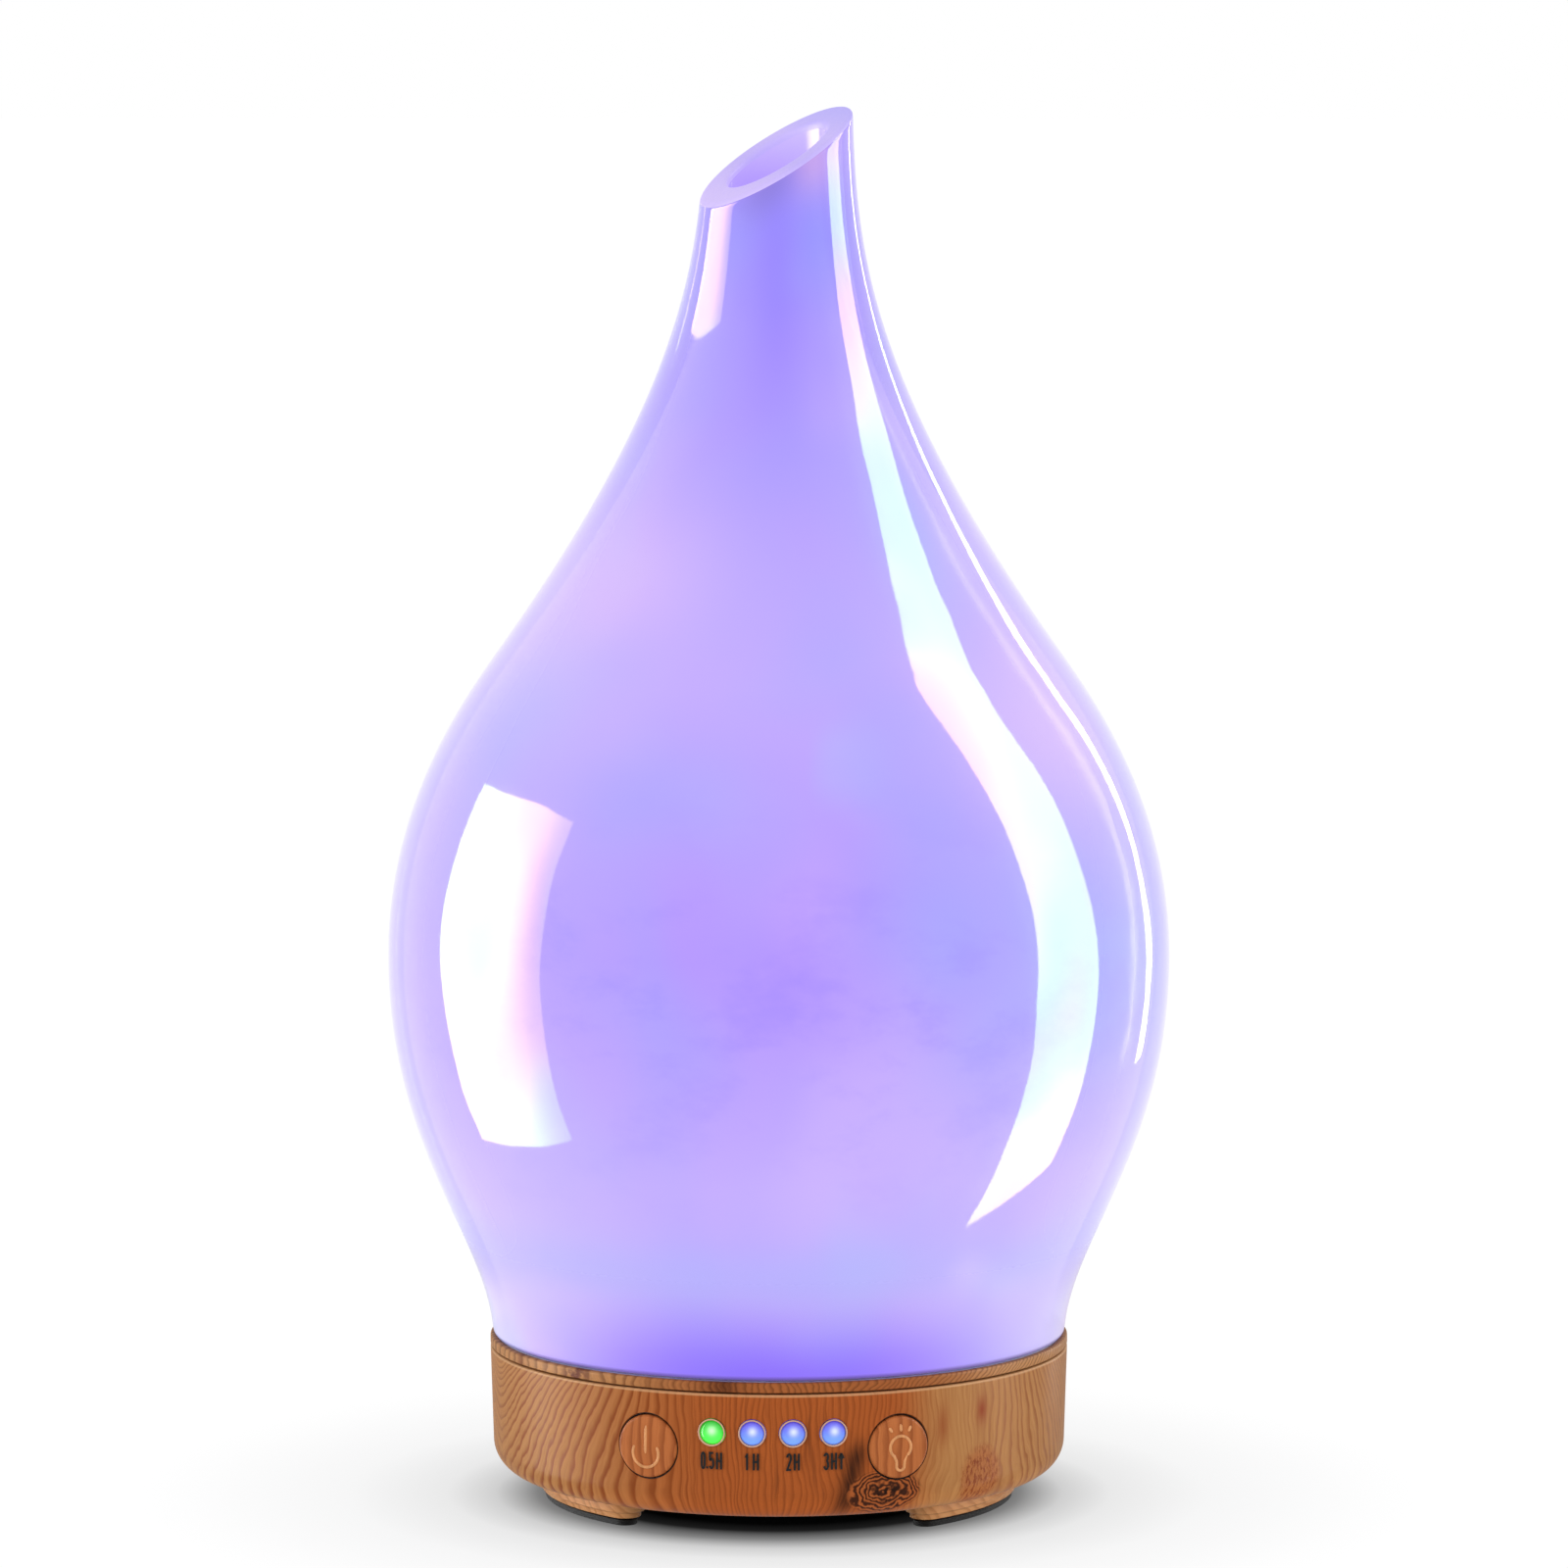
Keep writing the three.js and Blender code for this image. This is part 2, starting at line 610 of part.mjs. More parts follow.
function transducerRetainer() {
  const added = [rod(RETAINER.radius, RETAINER.bottom, RETAINER.top, 24)];
  const removed = [rod(RETAINER.hole, RETAINER.bottom - CUT, RETAINER.top + CUT, 24)];
  for (const angle of EAR_ANGLES) {
    const hole = rod(EAR_PILOT_RADIUS, RETAINER.bottom - CUT, RETAINER.top + CUT, 12);
    added.push(onCircle(rod(EAR_RADIUS, RETAINER.bottom, RETAINER.top, 12), EAR_CIRCLE, angle));
    removed.push(onCircle(hole, EAR_CIRCLE, angle));
  }
  return combine(added, removed);
}

place('transducer_retainer', transducerRetainer(), whitePlastic);

EAR_ANGLES.forEach((angle, index) => {
  const fastener = screw(2, 1.2, EAR_PILOT_RADIUS - GAP, RETAINER.bottom - GAP, DISC.top);
  place(`retainer_screw_${index + 1}`, onCircle(fastener, EAR_CIRCLE, angle), steel);
});

// ---- Fan ----

function fanFrame() {
  const body = block(FAN_SIZE, FAN_SIZE, FAN_BOTTOM, FAN_TOP);
  const bore = rod(FAN_BORE_RADIUS, FAN_BOTTOM - CUT, FAN_TOP + CUT, 24);
  const cornerHole = rod(1.4, FAN_BOTTOM - CUT, FAN_TOP + CUT, 8);
  const corners = [45, 135, 225, 315].map((angle) => onCircle(cornerHole, 10 * Math.SQRT2, angle));
  const shell = combine([body], [bore, ...corners]);
  const strut = block(FAN_BORE_RADIUS, 1.6, FAN_BOTTOM, FAN_BOTTOM + 1).translate(7, 0, 0);
  const struts = [90, 210, 330].map((angle) => strut.clone().rotateZ(angle * DEG));
  const motorPlate = rod(FAN_HUB_RADIUS, FAN_BOTTOM, FAN_BOTTOM + FAN_PLATE, 20);
  const shaft = rod(FAN_SHAFT_RADIUS, FAN_BOTTOM, 11.5, 10);
  return combine([shell, ...struts, motorPlate, shaft]);
}

function fanRotor() {
  const bottom = FAN_BOTTOM + FAN_PLATE + GAP;
  const top = FAN_TOP - 0.4;
  const blade = new THREE.BoxGeometry(BLADE.length, BLADE.chord, BLADE.thickness);
  blade.rotateX(BLADE.pitch);
  blade.translate(BLADE.root + BLADE.length / 2, 0, (bottom + top) / 2);
  const blades = [];
  for (let i = 0; i < BLADE.count; i += 1) {
    blades.push(blade.clone().rotateZ((i / BLADE.count) * 2 * Math.PI));
  }
  const shaftBore = rod(FAN_SHAFT_RADIUS + GAP, bottom - CUT, 12, 10);
  return combine([rod(FAN_HUB_RADIUS, bottom, top, 20), ...blades], [shaftBore]);
}

const fan = new THREE.Group();
fan.position.x = FAN_X;
humidifier.add(fan);
place('fan_frame', fanFrame(), blackPlastic, fan);
place('fan_rotor', fanRotor(), blackPlastic, fan);

// ---- Air duct and its seal ----

function airDuct() {
  const mouth = FAN_TOP + GAP;
  const horn = turned([
    [HORN.inner, mouth],
    [HORN.outer, mouth],
    [HORN.outer, mouth + HORN.rim],
    [DUCT_RADIUS, HORN.top],
    [DUCT_RADIUS, DUCT_TOP],
    [DUCT_BORE_RADIUS, DUCT_TOP],
    [DUCT_BORE_RADIUS, HORN.top - 0.4],
    [HORN.inner, mouth + HORN.rim],
  ], 24);
  const cut = new THREE.BoxGeometry(30, 30, 20).translate(0, 0, 10);
  cut.rotateY(-DUCT_SLANT).translate(0, 0, DUCT_TOP - 4);
  return combine([horn], [cut]);
}

place('air_duct', airDuct(), whitePlastic, fan);

place('duct_seal', turned([
  [DUCT_RADIUS + GAP, TANK_BOTTOM],
  [DUCT_HOLE_RADIUS - GAP, TANK_BOTTOM],
  [DUCT_HOLE_RADIUS - GAP, COLLAR_TOP + GAP],
  [DUCT_HOLE_RADIUS + 1.2, COLLAR_TOP + GAP],
  [DUCT_HOLE_RADIUS + 1.2, COLLAR_TOP + 1.5],
  [DUCT_RADIUS + GAP, COLLAR_TOP + 2.5],
], 24), silicone, fan);

// ---- Driver board and what stands on it ----

function spool(coreRadius, flangeRadius, height) {
  const top = ON_DRIVER + height;
  return turned([
    [0, ON_DRIVER],
    [flangeRadius, ON_DRIVER],
    [flangeRadius, ON_DRIVER + 1],
    [coreRadius, ON_DRIVER + 1],
    [coreRadius, top - 1],
    [flangeRadius, top - 1],
    [flangeRadius, top],
    [0, top],
  ], 20);
}

function heatSink() {
  const [width, depth, finWidth, finCount] = [12, 8, 1.2, 4];
  const plate = block(width, depth, ON_DRIVER, ON_DRIVER + 1.4);
  const fin = block(finWidth, depth, ON_DRIVER, ON_DRIVER + 6);
  const pitch = (width - finWidth) / (finCount - 1);
  const fins = [];
  for (let i = 0; i < finCount; i += 1) fins.push(at(fin, (finWidth - width) / 2 + i * pitch, 0));
  return combine([plate, ...fins]);
}

const driverBoard = block(
  DRIVER_BOARD.width, DRIVER_BOARD.depth, DRIVER_BOARD.bottom, DRIVER_BOARD.bottom + BOARD_THICKNESS);
place('driver_board', driverBoard, greenBoard).position.setX(DRIVER_BOARD.x);
place('drive_inductor', spool(4, 5, 6.4), copper).position.set(-20, 18, 0);
place('filter_capacitor', rod(4, ON_DRIVER, ON_DRIVER + 6.6, 20), blueSleeve).position.set(-20, -18, 0);
place('controller_chip', block(7, 5, ON_DRIVER, ON_DRIVER + 1.6), blackPlastic).position.set(2, -20, 0);
place('heat_sink', heatSink(), aluminium).position.set(-3, 23, 0);

// ---- Control board ----

function controlBoard() {
  const { bottom, inner, outer, halfAngle } = CONTROL_BOARD;
  const shape = arcShape(inner, outer, -90 - halfAngle, -90 + halfAngle);
  const board = extruded(shape, bottom, bottom + BOARD_THICKNESS, 18);
  const bossHole = rod(BOSS_RADIUS + 0.5, bottom - CUT, bottom + BOARD_THICKNESS + CUT);
  return combine([board], [onCircle(bossHole, BOSS_CIRCLE, BOSS_ANGLES[0])]);
}

place('control_board', controlBoard(), greenBoard);

// ---- Glow board under the tank ----

const glowShape = arcShape(GLOW_BOARD.inner, GLOW_BOARD.outer, GLOW_BOARD.from, GLOW_BOARD.to);
place('glow_board', extruded(glowShape, GLOW_BOARD.bottom, GLOW_BOARD.top, 24), whiteBoard);

GLOW_LED.angles.forEach((angle, index) => {
  const bottom = GLOW_BOARD.top + GAP;
  const led = block(GLOW_LED.size, GLOW_LED.size, bottom, bottom + GLOW_LED.height);
  place(`glow_led_${index + 1}`, at(led, GLOW_LED.circle, 0), ledResin).rotation.z = angle * DEG;
});

// ---- DC socket ----

function dcJack() {
  const body = new THREE.BoxGeometry(JACK_BODY.width, JACK_BODY.front - JACK_BODY.back, JACK_BODY.height);
  body.translate(0, -(JACK_BODY.back + JACK_BODY.front) / 2, 0);
  const nose = rodOutward(JACK_NOSE.radius, JACK_BODY.front - CUT, JACK_NOSE.face, 24);
  const bore = rodOutward(JACK_BORE.radius, JACK_BORE.end, JACK_NOSE.face + CUT, 24);
  const pin = rodOutward(JACK_PIN.radius, JACK_BORE.end - CUT, JACK_PIN.tip, 12);
  const hollow = combine([body, nose], [bore]);
  return combine([hollow, pin]).rotateZ(Math.PI);
}

place('dc_jack', dcJack(), blackPlastic).position.setZ(JACK_HEIGHT);

// ---- Internal leads ----

const LEAD_RADIUS = 0.55;
const TRANSDUCER_LEAD = [
  [3, -1, 18.2], [3, -1, 15.5], [1, 2, 13.4], [-3, 7, 13], [-5.6, 9.6, 12.4], [-6, 10, 11.2]];
const FAN_LEAD = [
  [15.2, 4, 12.2], [12.5, 5.5, 12.8], [9.5, 8.5, 12.8], [7.3, 11.5, 12.3], [7, 12, 11.2]];
const JACK_LEAD = [
  [2, 34.9, 12.5], [3, 31.5, 12.8], [6, 26.5, 12.9], [8.3, 22.8, 12.3], [8.5, 22.5, 11.2]];

place('transducer_lead', tube(TRANSDUCER_LEAD, LEAD_RADIUS, 12), redWire);
place('fan_lead', tube(FAN_LEAD, LEAD_RADIUS, 10), redWire);
place('jack_lead', tube(JACK_LEAD, LEAD_RADIUS, 10), whiteWire);

// ---- Bottom cover and its screws ----

const HEAD_RECESS = { radius: 2.9, top: 6.2 };
const COVER_SCREW = { headRadius: 2.5, headHeight: 1.3, seat: HEAD_RECESS.top - GAP, tip: 15 };

function bottomCover() {
  const added = [rod(BASE_OPENING_RADIUS - GAP, BOTTOM_LEVEL, COVER_TOP, ROUND_SIDES)];
  const removed = [];
  const below = BOTTOM_LEVEL - CUT;
  for (const angle of BOSS_ANGLES) {
    const cupTop = BOSS_BOTTOM - GAP;
    added.push(onCircle(rod(4, BOTTOM_LEVEL, cupTop), BOSS_CIRCLE - 0.2, angle));
    removed.push(onCircle(rod(HEAD_RECESS.radius, below, HEAD_RECESS.top), BOSS_CIRCLE, angle));
    removed.push(onCircle(rod(BOSS_PILOT.radius, below, cupTop + CUT, 12), BOSS_CIRCLE, angle));
  }
  for (const x of [-17, 17]) {
    for (const y of [-24, 24]) {
      added.push(at(rod(2, BOTTOM_LEVEL, DRIVER_BOARD.bottom - GAP, 10), DRIVER_BOARD.x + x, y));
    }
  }
  for (const angle of FOOT_CENTRES.flatMap((centre) => [centre - PEG_ANGLE, centre + PEG_ANGLE])) {
    removed.push(onCircle(rod(PEG_RADIUS + GAP, below, COVER_TOP + CUT, 10), PEG_CIRCLE, angle));
  }
  for (const step of [-2, -1, 0, 1, 2]) {
    const slot = block(15 - Math.abs(step), 1.8, below, COVER_TOP + CUT);
    removed.push(at(slot, FAN_X - 1.5, step * 3.6));
  }
  return combine(added, removed);
}

place('bottom_cover', bottomCover(), blackPlastic);

BOSS_ANGLES.forEach((angle, index) => {
  const { headRadius, headHeight, seat, tip } = COVER_SCREW;
  const fastener = screw(headRadius, headHeight, BOSS_PILOT.radius - GAP, seat, tip);
  place(`cover_screw_${index + 1}`, onCircle(fastener, BOSS_CIRCLE, angle), steel);
});

// ---- Feet and rubber pads ----

// An arc with round ends, centred on the +X axis and inset all round.
function footShape(inset) {
  const inner = FOOT_INNER_RADIUS + inset;
  const outer = FOOT_OUTER_RADIUS - inset;
  const middle = (inner + outer) / 2;
  const half = (outer - inner) / 2;
  const endAngle = FOOT_HALF_ANGLE * DEG - (half + inset) / middle;
  const tip = (angle) => [middle * Math.cos(angle), middle * Math.sin(angle)];
  const shape = new THREE.Shape();
  shape.absarc(0, 0, outer, -endAngle, endAngle, false);
  shape.absarc(...tip(endAngle), half, endAngle, endAngle + Math.PI, false);
  shape.absarc(0, 0, inner, endAngle, -endAngle, true);
  shape.absarc(...tip(-endAngle), half, -endAngle + Math.PI, -endAngle + 2 * Math.PI, false);
  shape.closePath();
  return shape;
}

function foot() {
  const stepLevel = (FOOT_BOTTOM + FOOT_TOP) / 2 - 0.5;
  const upper = extruded(footShape(0), stepLevel, FOOT_TOP, 4);
  const lower = extruded(footShape(FOOT_STEP), FOOT_BOTTOM, stepLevel + 0.3, 4);
  const peg = rod(PEG_RADIUS, FOOT_TOP - 0.5, COVER_TOP, 10);
  const pegs = [-PEG_ANGLE, PEG_ANGLE].map((angle) => onCircle(peg, PEG_CIRCLE, angle));
  return combine([upper, lower, ...pegs]);
}

FOOT_CENTRES.forEach((angle, index) => {
  const pad = combine([extruded(footShape(PAD_INSET), 0, PAD_TOP, 4)]);
  place(`foot_${index + 1}`, foot(), woodPrint).rotation.z = angle * DEG;
  place(`foot_pad_${index + 1}`, pad, blackRubber).rotation.z = angle * DEG;
});

export default humidifier;
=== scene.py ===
"""Looks of the cool mist humidifier: glass cover, wood-print base, controls, floor, light and camera."""

import math

import bmesh
import bpy
from mathutils import Matrix, Vector


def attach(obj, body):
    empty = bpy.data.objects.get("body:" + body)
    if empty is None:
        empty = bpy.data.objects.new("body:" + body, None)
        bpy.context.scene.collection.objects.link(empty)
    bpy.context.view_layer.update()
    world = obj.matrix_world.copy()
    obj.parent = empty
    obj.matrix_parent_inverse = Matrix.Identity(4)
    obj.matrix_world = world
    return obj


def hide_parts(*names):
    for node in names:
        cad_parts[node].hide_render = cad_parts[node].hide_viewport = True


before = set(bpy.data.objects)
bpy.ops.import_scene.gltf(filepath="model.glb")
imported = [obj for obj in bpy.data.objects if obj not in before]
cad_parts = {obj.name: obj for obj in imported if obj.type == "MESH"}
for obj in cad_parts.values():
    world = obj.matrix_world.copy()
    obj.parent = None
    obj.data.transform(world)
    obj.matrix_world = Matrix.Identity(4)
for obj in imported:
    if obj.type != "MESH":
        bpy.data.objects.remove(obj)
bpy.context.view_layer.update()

MM = 0.001  # shapes are described in millimetres and made in metres
ROUND = 192  # steps around the large round pieces
SHARP = math.radians(38)  # edges that turn by more than this stay sharp

# ---- Dimensions, as in the CAD model ----

BASE_RADIUS = 50
HOUSING_TOP = 26.3
SEAT_BOTTOM = 26.6
SEAT_TOP = 28.3
BUTTON_AZIMUTHS = {"mist": -25.2, "light": 25.2}
BUTTON_HEIGHT = 16.6
TIMER_AZIMUTHS = (-11.88, -3.96, 3.96, 11.88)
TIMER_HEIGHT = 19.7
LABEL_HEIGHT = 14.9
GLASS_FOOT = 28.6
GLASS_TOP = 242  # before the slanted cut
GLASS_OUTLINE = (
    ((49.5, GLASS_FOOT), (50.6, 45.6), (67.4, 60.5), (67.4, 94)),
    ((67.4, 94), (67.4, 120.5), (54.1, 138.7), (47.5, 148)),
    ((47.5, 148), (13.4, 196.4), (13.3, 218.3), (12.6, GLASS_TOP)),
)
SPOUT_CENTRE = 232.4
SPOUT_SLOPE = math.tan(math.radians(32.2))
SPOUT_RISE = math.radians(27.1)  # direction in which the cut rises
FOOT_CENTRES = (-153.5, -26.5, 90)
PEG_OFFSETS = (-16, 16)  # degrees from the middle of a foot
PEG_CIRCLE = 38.5
BOSS_ANGLES = (-90, 30, 150)
BOSS_CIRCLE = 38
DUCT_OFFSET = 28
SOCKET_HEIGHT = 14


# ---- Shape helpers ----

def bezier(points, t):
    a, b, c, d = (Vector(p) for p in points)
    s = 1 - t
    return s * s * s * a + 3 * s * s * t * b + 3 * s * t * t * c + t * t * t * d


def arc(start, corner, end, steps):
    """Points that round off a corner."""
    shares = [step / steps for step in range(steps + 1)]
    return [(1 - t) ** 2 * start + 2 * t * (1 - t) * corner + t * t * end for t in shares]


def ellipse(centre, across, up, start, end, steps=14):
    """Points on an ellipse between two angles in degrees."""
    angles = [math.radians(start + (end - start) * step / steps) for step in range(steps + 1)]
    return [(centre[0] + across * math.cos(a), centre[1] + up * math.sin(a)) for a in angles]


def rounded(corners, radius, steps=4):
    """A closed outline with its corners rounded. A third number on a corner is its own radius."""
    outline = []
    for index, corner in enumerate(corners):
        here = Vector(corner[:2])
        size = corner[2] if len(corner) > 2 else radius
        before = Vector(corners[index - 1][:2]) - here
        after = Vector(corners[(index + 1) % len(corners)][:2]) - here
        if size == 0 or here.x == 0:
            outline.append((here.x, here.y))
            continue
        reach = size / math.tan(before.angle(after) / 2)
        reach = min(reach, before.length * 0.45, after.length * 0.45)
        start = here + before.normalized() * reach
        end = here + after.normalized() * reach
        outline += [tuple(point) for point in arc(start, here, end, steps)]
    return outline


def turned(profile_at, segments):
    """Vertices and faces of a closed profile of (radius, height) that may change on its way about Z."""
    vertices, faces = [], []
    for step in range(segments):
        angle = 2 * math.pi * step / segments
        profile = profile_at(angle)
        count = len(profile)
        for radius, height in profile:
            vertices.append((radius * math.cos(angle), radius * math.sin(angle), height))
        here, following = step * count, (step + 1) % segments * count
        for row in range(count):
            above = (row + 1) % count
            faces.append((here + row, following + row, following + above, here + above))
    return vertices, faces


def turn(profile, segments=ROUND):
    """Vertices and faces of a closed profile of (radius, height) turned about Z."""
    return turned(lambda angle: profile, segments)


def loft(outline_at, levels):
    """Vertices and faces of a solid through level outlines, each (height, inset), from the bottom up."""
    vertices, faces = [], []
    for height, inset in levels:
        outline = outline_at(inset)
        vertices += [(x, y, height) for x, y in outline]
    count = len(outline)
    for level in range(len(levels) - 1):
        for index in range(count):
            following = (index + 1) % count
            low, high = level * count, (level + 1) * count
            faces.append((low + index, low + following, high + following, high + index))
    faces.append(tuple(reversed(range(count))))
    faces.append(tuple(range((len(levels) - 1) * count, len(levels) * count)))
    return vertices, faces


def facing(azimuth, height):
    """From a shape about +Z to one about the radial axis of a control on the base."""
    outward = Matrix.Rotation(math.radians(90), 4, "X")
    around = Matrix.Rotation(math.radians(azimuth), 4, "Z")
    return Matrix.Translation((0, 0, height)) @ around @ outward


def moved(shape, matrix):
    vertices, faces = shape
    return [tuple(matrix @ Vector(v)) for v in vertices], faces


def joined(*shapes):
    vertices, faces = [], []
    for more_vertices, more_faces in shapes:
        start = len(vertices)
        vertices += more_vertices
        faces += [tuple(start + index for index in face) for face in more_faces]
    return vertices, faces


def shift(x, y, z=0):
    return Matrix.Translation((x, y, z))


def on_circle(radius, degrees):
    angle = math.radians(degrees)
    return shift(radius * math.cos(angle), radius * math.sin(angle))


def rod(radius, low, high, segments=48):
    return turn([(0, low), (radius, low), (radius, high), (0, high)], segments)


def box_shape(width, depth, low, high, bevel=0.3):
    def outline(inset):
        x, y = width / 2 - inset, depth / 2 - inset
        corners = [(-x, -y), (x, -y), (x, y), (-x, y)]
        return rounded(corners, max(0.05, bevel - inset), 3)
    levels = [(low, bevel), (low + bevel * 0.3, bevel * 0.3), (low + bevel, 0),
              (high - bevel, 0), (high - bevel * 0.3, bevel * 0.3), (high, bevel)]
    return loft(outline, levels)


def tube(path, radius, sides=10):
    """A round stroke with tapered ends along a path of points, on a face that looks up."""
    vertices, faces = [], []
    points = [Vector(p) for p in path]
    outward = Vector((0, 0, 1))
    for index, point in enumerate(points):
        ahead = points[min(index + 1, len(points) - 1)] - points[max(index - 1, 0)]
        side = ahead.normalized().cross(outward).normalized()
        end = index in (0, len(points) - 1)
        size = radius * (0.45 if end else 1)
        for step in range(sides):
            angle = 2 * math.pi * step / sides
            offset = side * math.cos(angle) + outward * math.sin(angle)
            vertices.append(tuple(point + offset * size))
    for index in range(len(points) - 1):
        for step in range(sides):
            following = (step + 1) % sides
            a, b = index * sides + step, index * sides + following
            faces.append((a, b, b + sides, a + sides))
    faces.append(tuple(range(sides)))
    faces.append(tuple(reversed(range(len(vertices) - sides, len(vertices)))))
    return vertices, faces


def placed_object(name, data):
    piece = bpy.data.objects.new(name, data)
    bpy.context.scene.collection.objects.link(piece)
    return piece


def raw_object(name, shape, scale=MM):
    vertices, faces = shape
    mesh = bpy.data.meshes.new(name)
    mesh.from_pydata([tuple(c * scale for c in v) for v in vertices], [], faces)
    return placed_object(name, mesh)


def mesh_object(name, shape):
    """An object whose double points are merged and whose faces all look outward."""
    piece = raw_object(name, shape)
    edit = bmesh.new()
    edit.from_mesh(piece.data)
    bmesh.ops.remove_doubles(edit, verts=edit.verts, dist=1e-7)
    bmesh.ops.recalc_face_normals(edit, faces=edit.faces)
    edit.to_mesh(piece.data)
    edit.free()
    return piece


def carve(piece, shape, operation="DIFFERENCE", crossing=False):
    """Cuts a shape out of a piece, or joins it on. `crossing` is for a shape whose own parts overlap."""
    cutter = mesh_object(piece.name + "_cutter", shape)
    modifier = piece.modifiers.new("carve", "BOOLEAN")
    modifier.operation = operation
    modifier.solver = "EXACT"
    modifier.use_self = crossing
    modifier.object = cutter
    bpy.context.view_layer.update()
    graph = bpy.context.evaluated_depsgraph_get()
    result = bpy.data.meshes.new_from_object(piece.evaluated_get(graph))
    piece.modifiers.clear()
    piece.data = result
    bpy.data.objects.remove(cutter)


def add(name, shape, material, body="base", replaces=(), slot=None, cuts=(), crossing=False):
    """Makes a finished piece of the visual model."""
    piece = shape if isinstance(shape, bpy.types.Object) else mesh_object(name, shape)
    if cuts:
        carve(piece, joined(*cuts), crossing=crossing)
    piece.data.materials.clear()
    piece.data.materials.append(material)
    piece.data.polygons.foreach_set("use_smooth", [True] * len(piece.data.polygons))
    piece.data.polygons.foreach_set("material_index", [0] * len(piece.data.polygons))
    piece.data.set_sharp_from_angle(angle=SHARP)
    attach(piece, body)
    if replaces:
        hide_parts(*replaces)


def remake(node, shape, material, slot, **extra):
    """Adds the finished piece that stands for one CAD node."""
    add(f"{node}_fine", shape, material, replaces=[node], slot=slot, **extra)


def unite(piece, *shapes):
    for shape in shapes:
        carve(piece, shape, "UNION")


def at_bosses(shape, radius=BOSS_CIRCLE):
    return [moved(shape, on_circle(radius, angle)) for angle in BOSS_ANGLES]


# ---- Material helpers ----

def tone(red, green, blue):
    """A display colour of 0 to 255 as a shader colour."""
    def linear(value):
        value /= 255
        return value / 12.92 if value <= 0.04045 else ((value + 0.055) / 1.055) ** 2.4
    return (linear(red), linear(green), linear(blue), 1)


def new_node(tree, kind, inputs):
    """A shader node with numbers or links on its inputs, which are given by name or place."""
    node = tree.nodes.new("ShaderNode" + kind)
    for key, value in inputs.items():
        connect(tree, node.inputs[key], value)
    return node


class Field:
    """A number that varies over a surface. It takes part in ordinary sums, which become shader nodes."""

    def __init__(self, tree, socket):
        self.tree = tree
        self.socket = socket

    def calc(self, operation, *others):
        node = new_node(self.tree, "Math", dict(enumerate((self, *others))))
        node.operation = operation
        return Field(self.tree, node.outputs[0])

    def __add__(self, other):
        return self.calc("ADD", other)

    def __sub__(self, other):
        return self.calc("SUBTRACT", other)

    def __mul__(self, other):
        return self.calc("MULTIPLY", other)

    def __truediv__(self, other):
        return self.calc("DIVIDE", other)

    __radd__ = __add__
    __rmul__ = __mul__

    def __rsub__(self, other):
        return self * -1 + other

    def sin(self):
        return self.calc("SINE")

    def root(self):
        return self.calc("SQRT")

    def power(self, exponent):
        return self.calc("POWER", exponent)

    def fraction(self):
        return self.calc("FRACT")

    def exponential(self):
        return self.calc("EXPONENT")

    def bell(self, centre, width):
        """1 at the centre, falling to almost nothing at a distance of twice the width."""
        offset = (self - centre) / width
        return (offset * offset * -1).exponential()

    def rise(self, low, high):
        """A smooth step from 0 at the low value to 1 at the high one."""
        node = new_node(self.tree, "MapRange", {"Value": self, "From Min": low, "From Max": high})
        node.interpolation_type = "SMOOTHSTEP"
        return Field(self.tree, node.outputs["Result"])

    def toward(self, other, share):
        return self + (other - self) * share


def connect(tree, socket, value):
    if isinstance(value, Field):
        value = value.socket
    if isinstance(value, bpy.types.NodeSocket):
        tree.links.new(value, socket)
    else:
        socket.default_value = value


SOCKETS = {
    "colour": "Base Color", "roughness": "Roughness", "metallic": "Metallic", "ior": "IOR",
    "specular": "Specular IOR Level", "coat": "Coat Weight", "coat_roughness": "Coat Roughness",
    "emission": "Emission Color", "glow": "Emission Strength", "scatter": "Subsurface Weight",
    "film": "Thin Film Thickness", "film_ior": "Thin Film IOR",
}


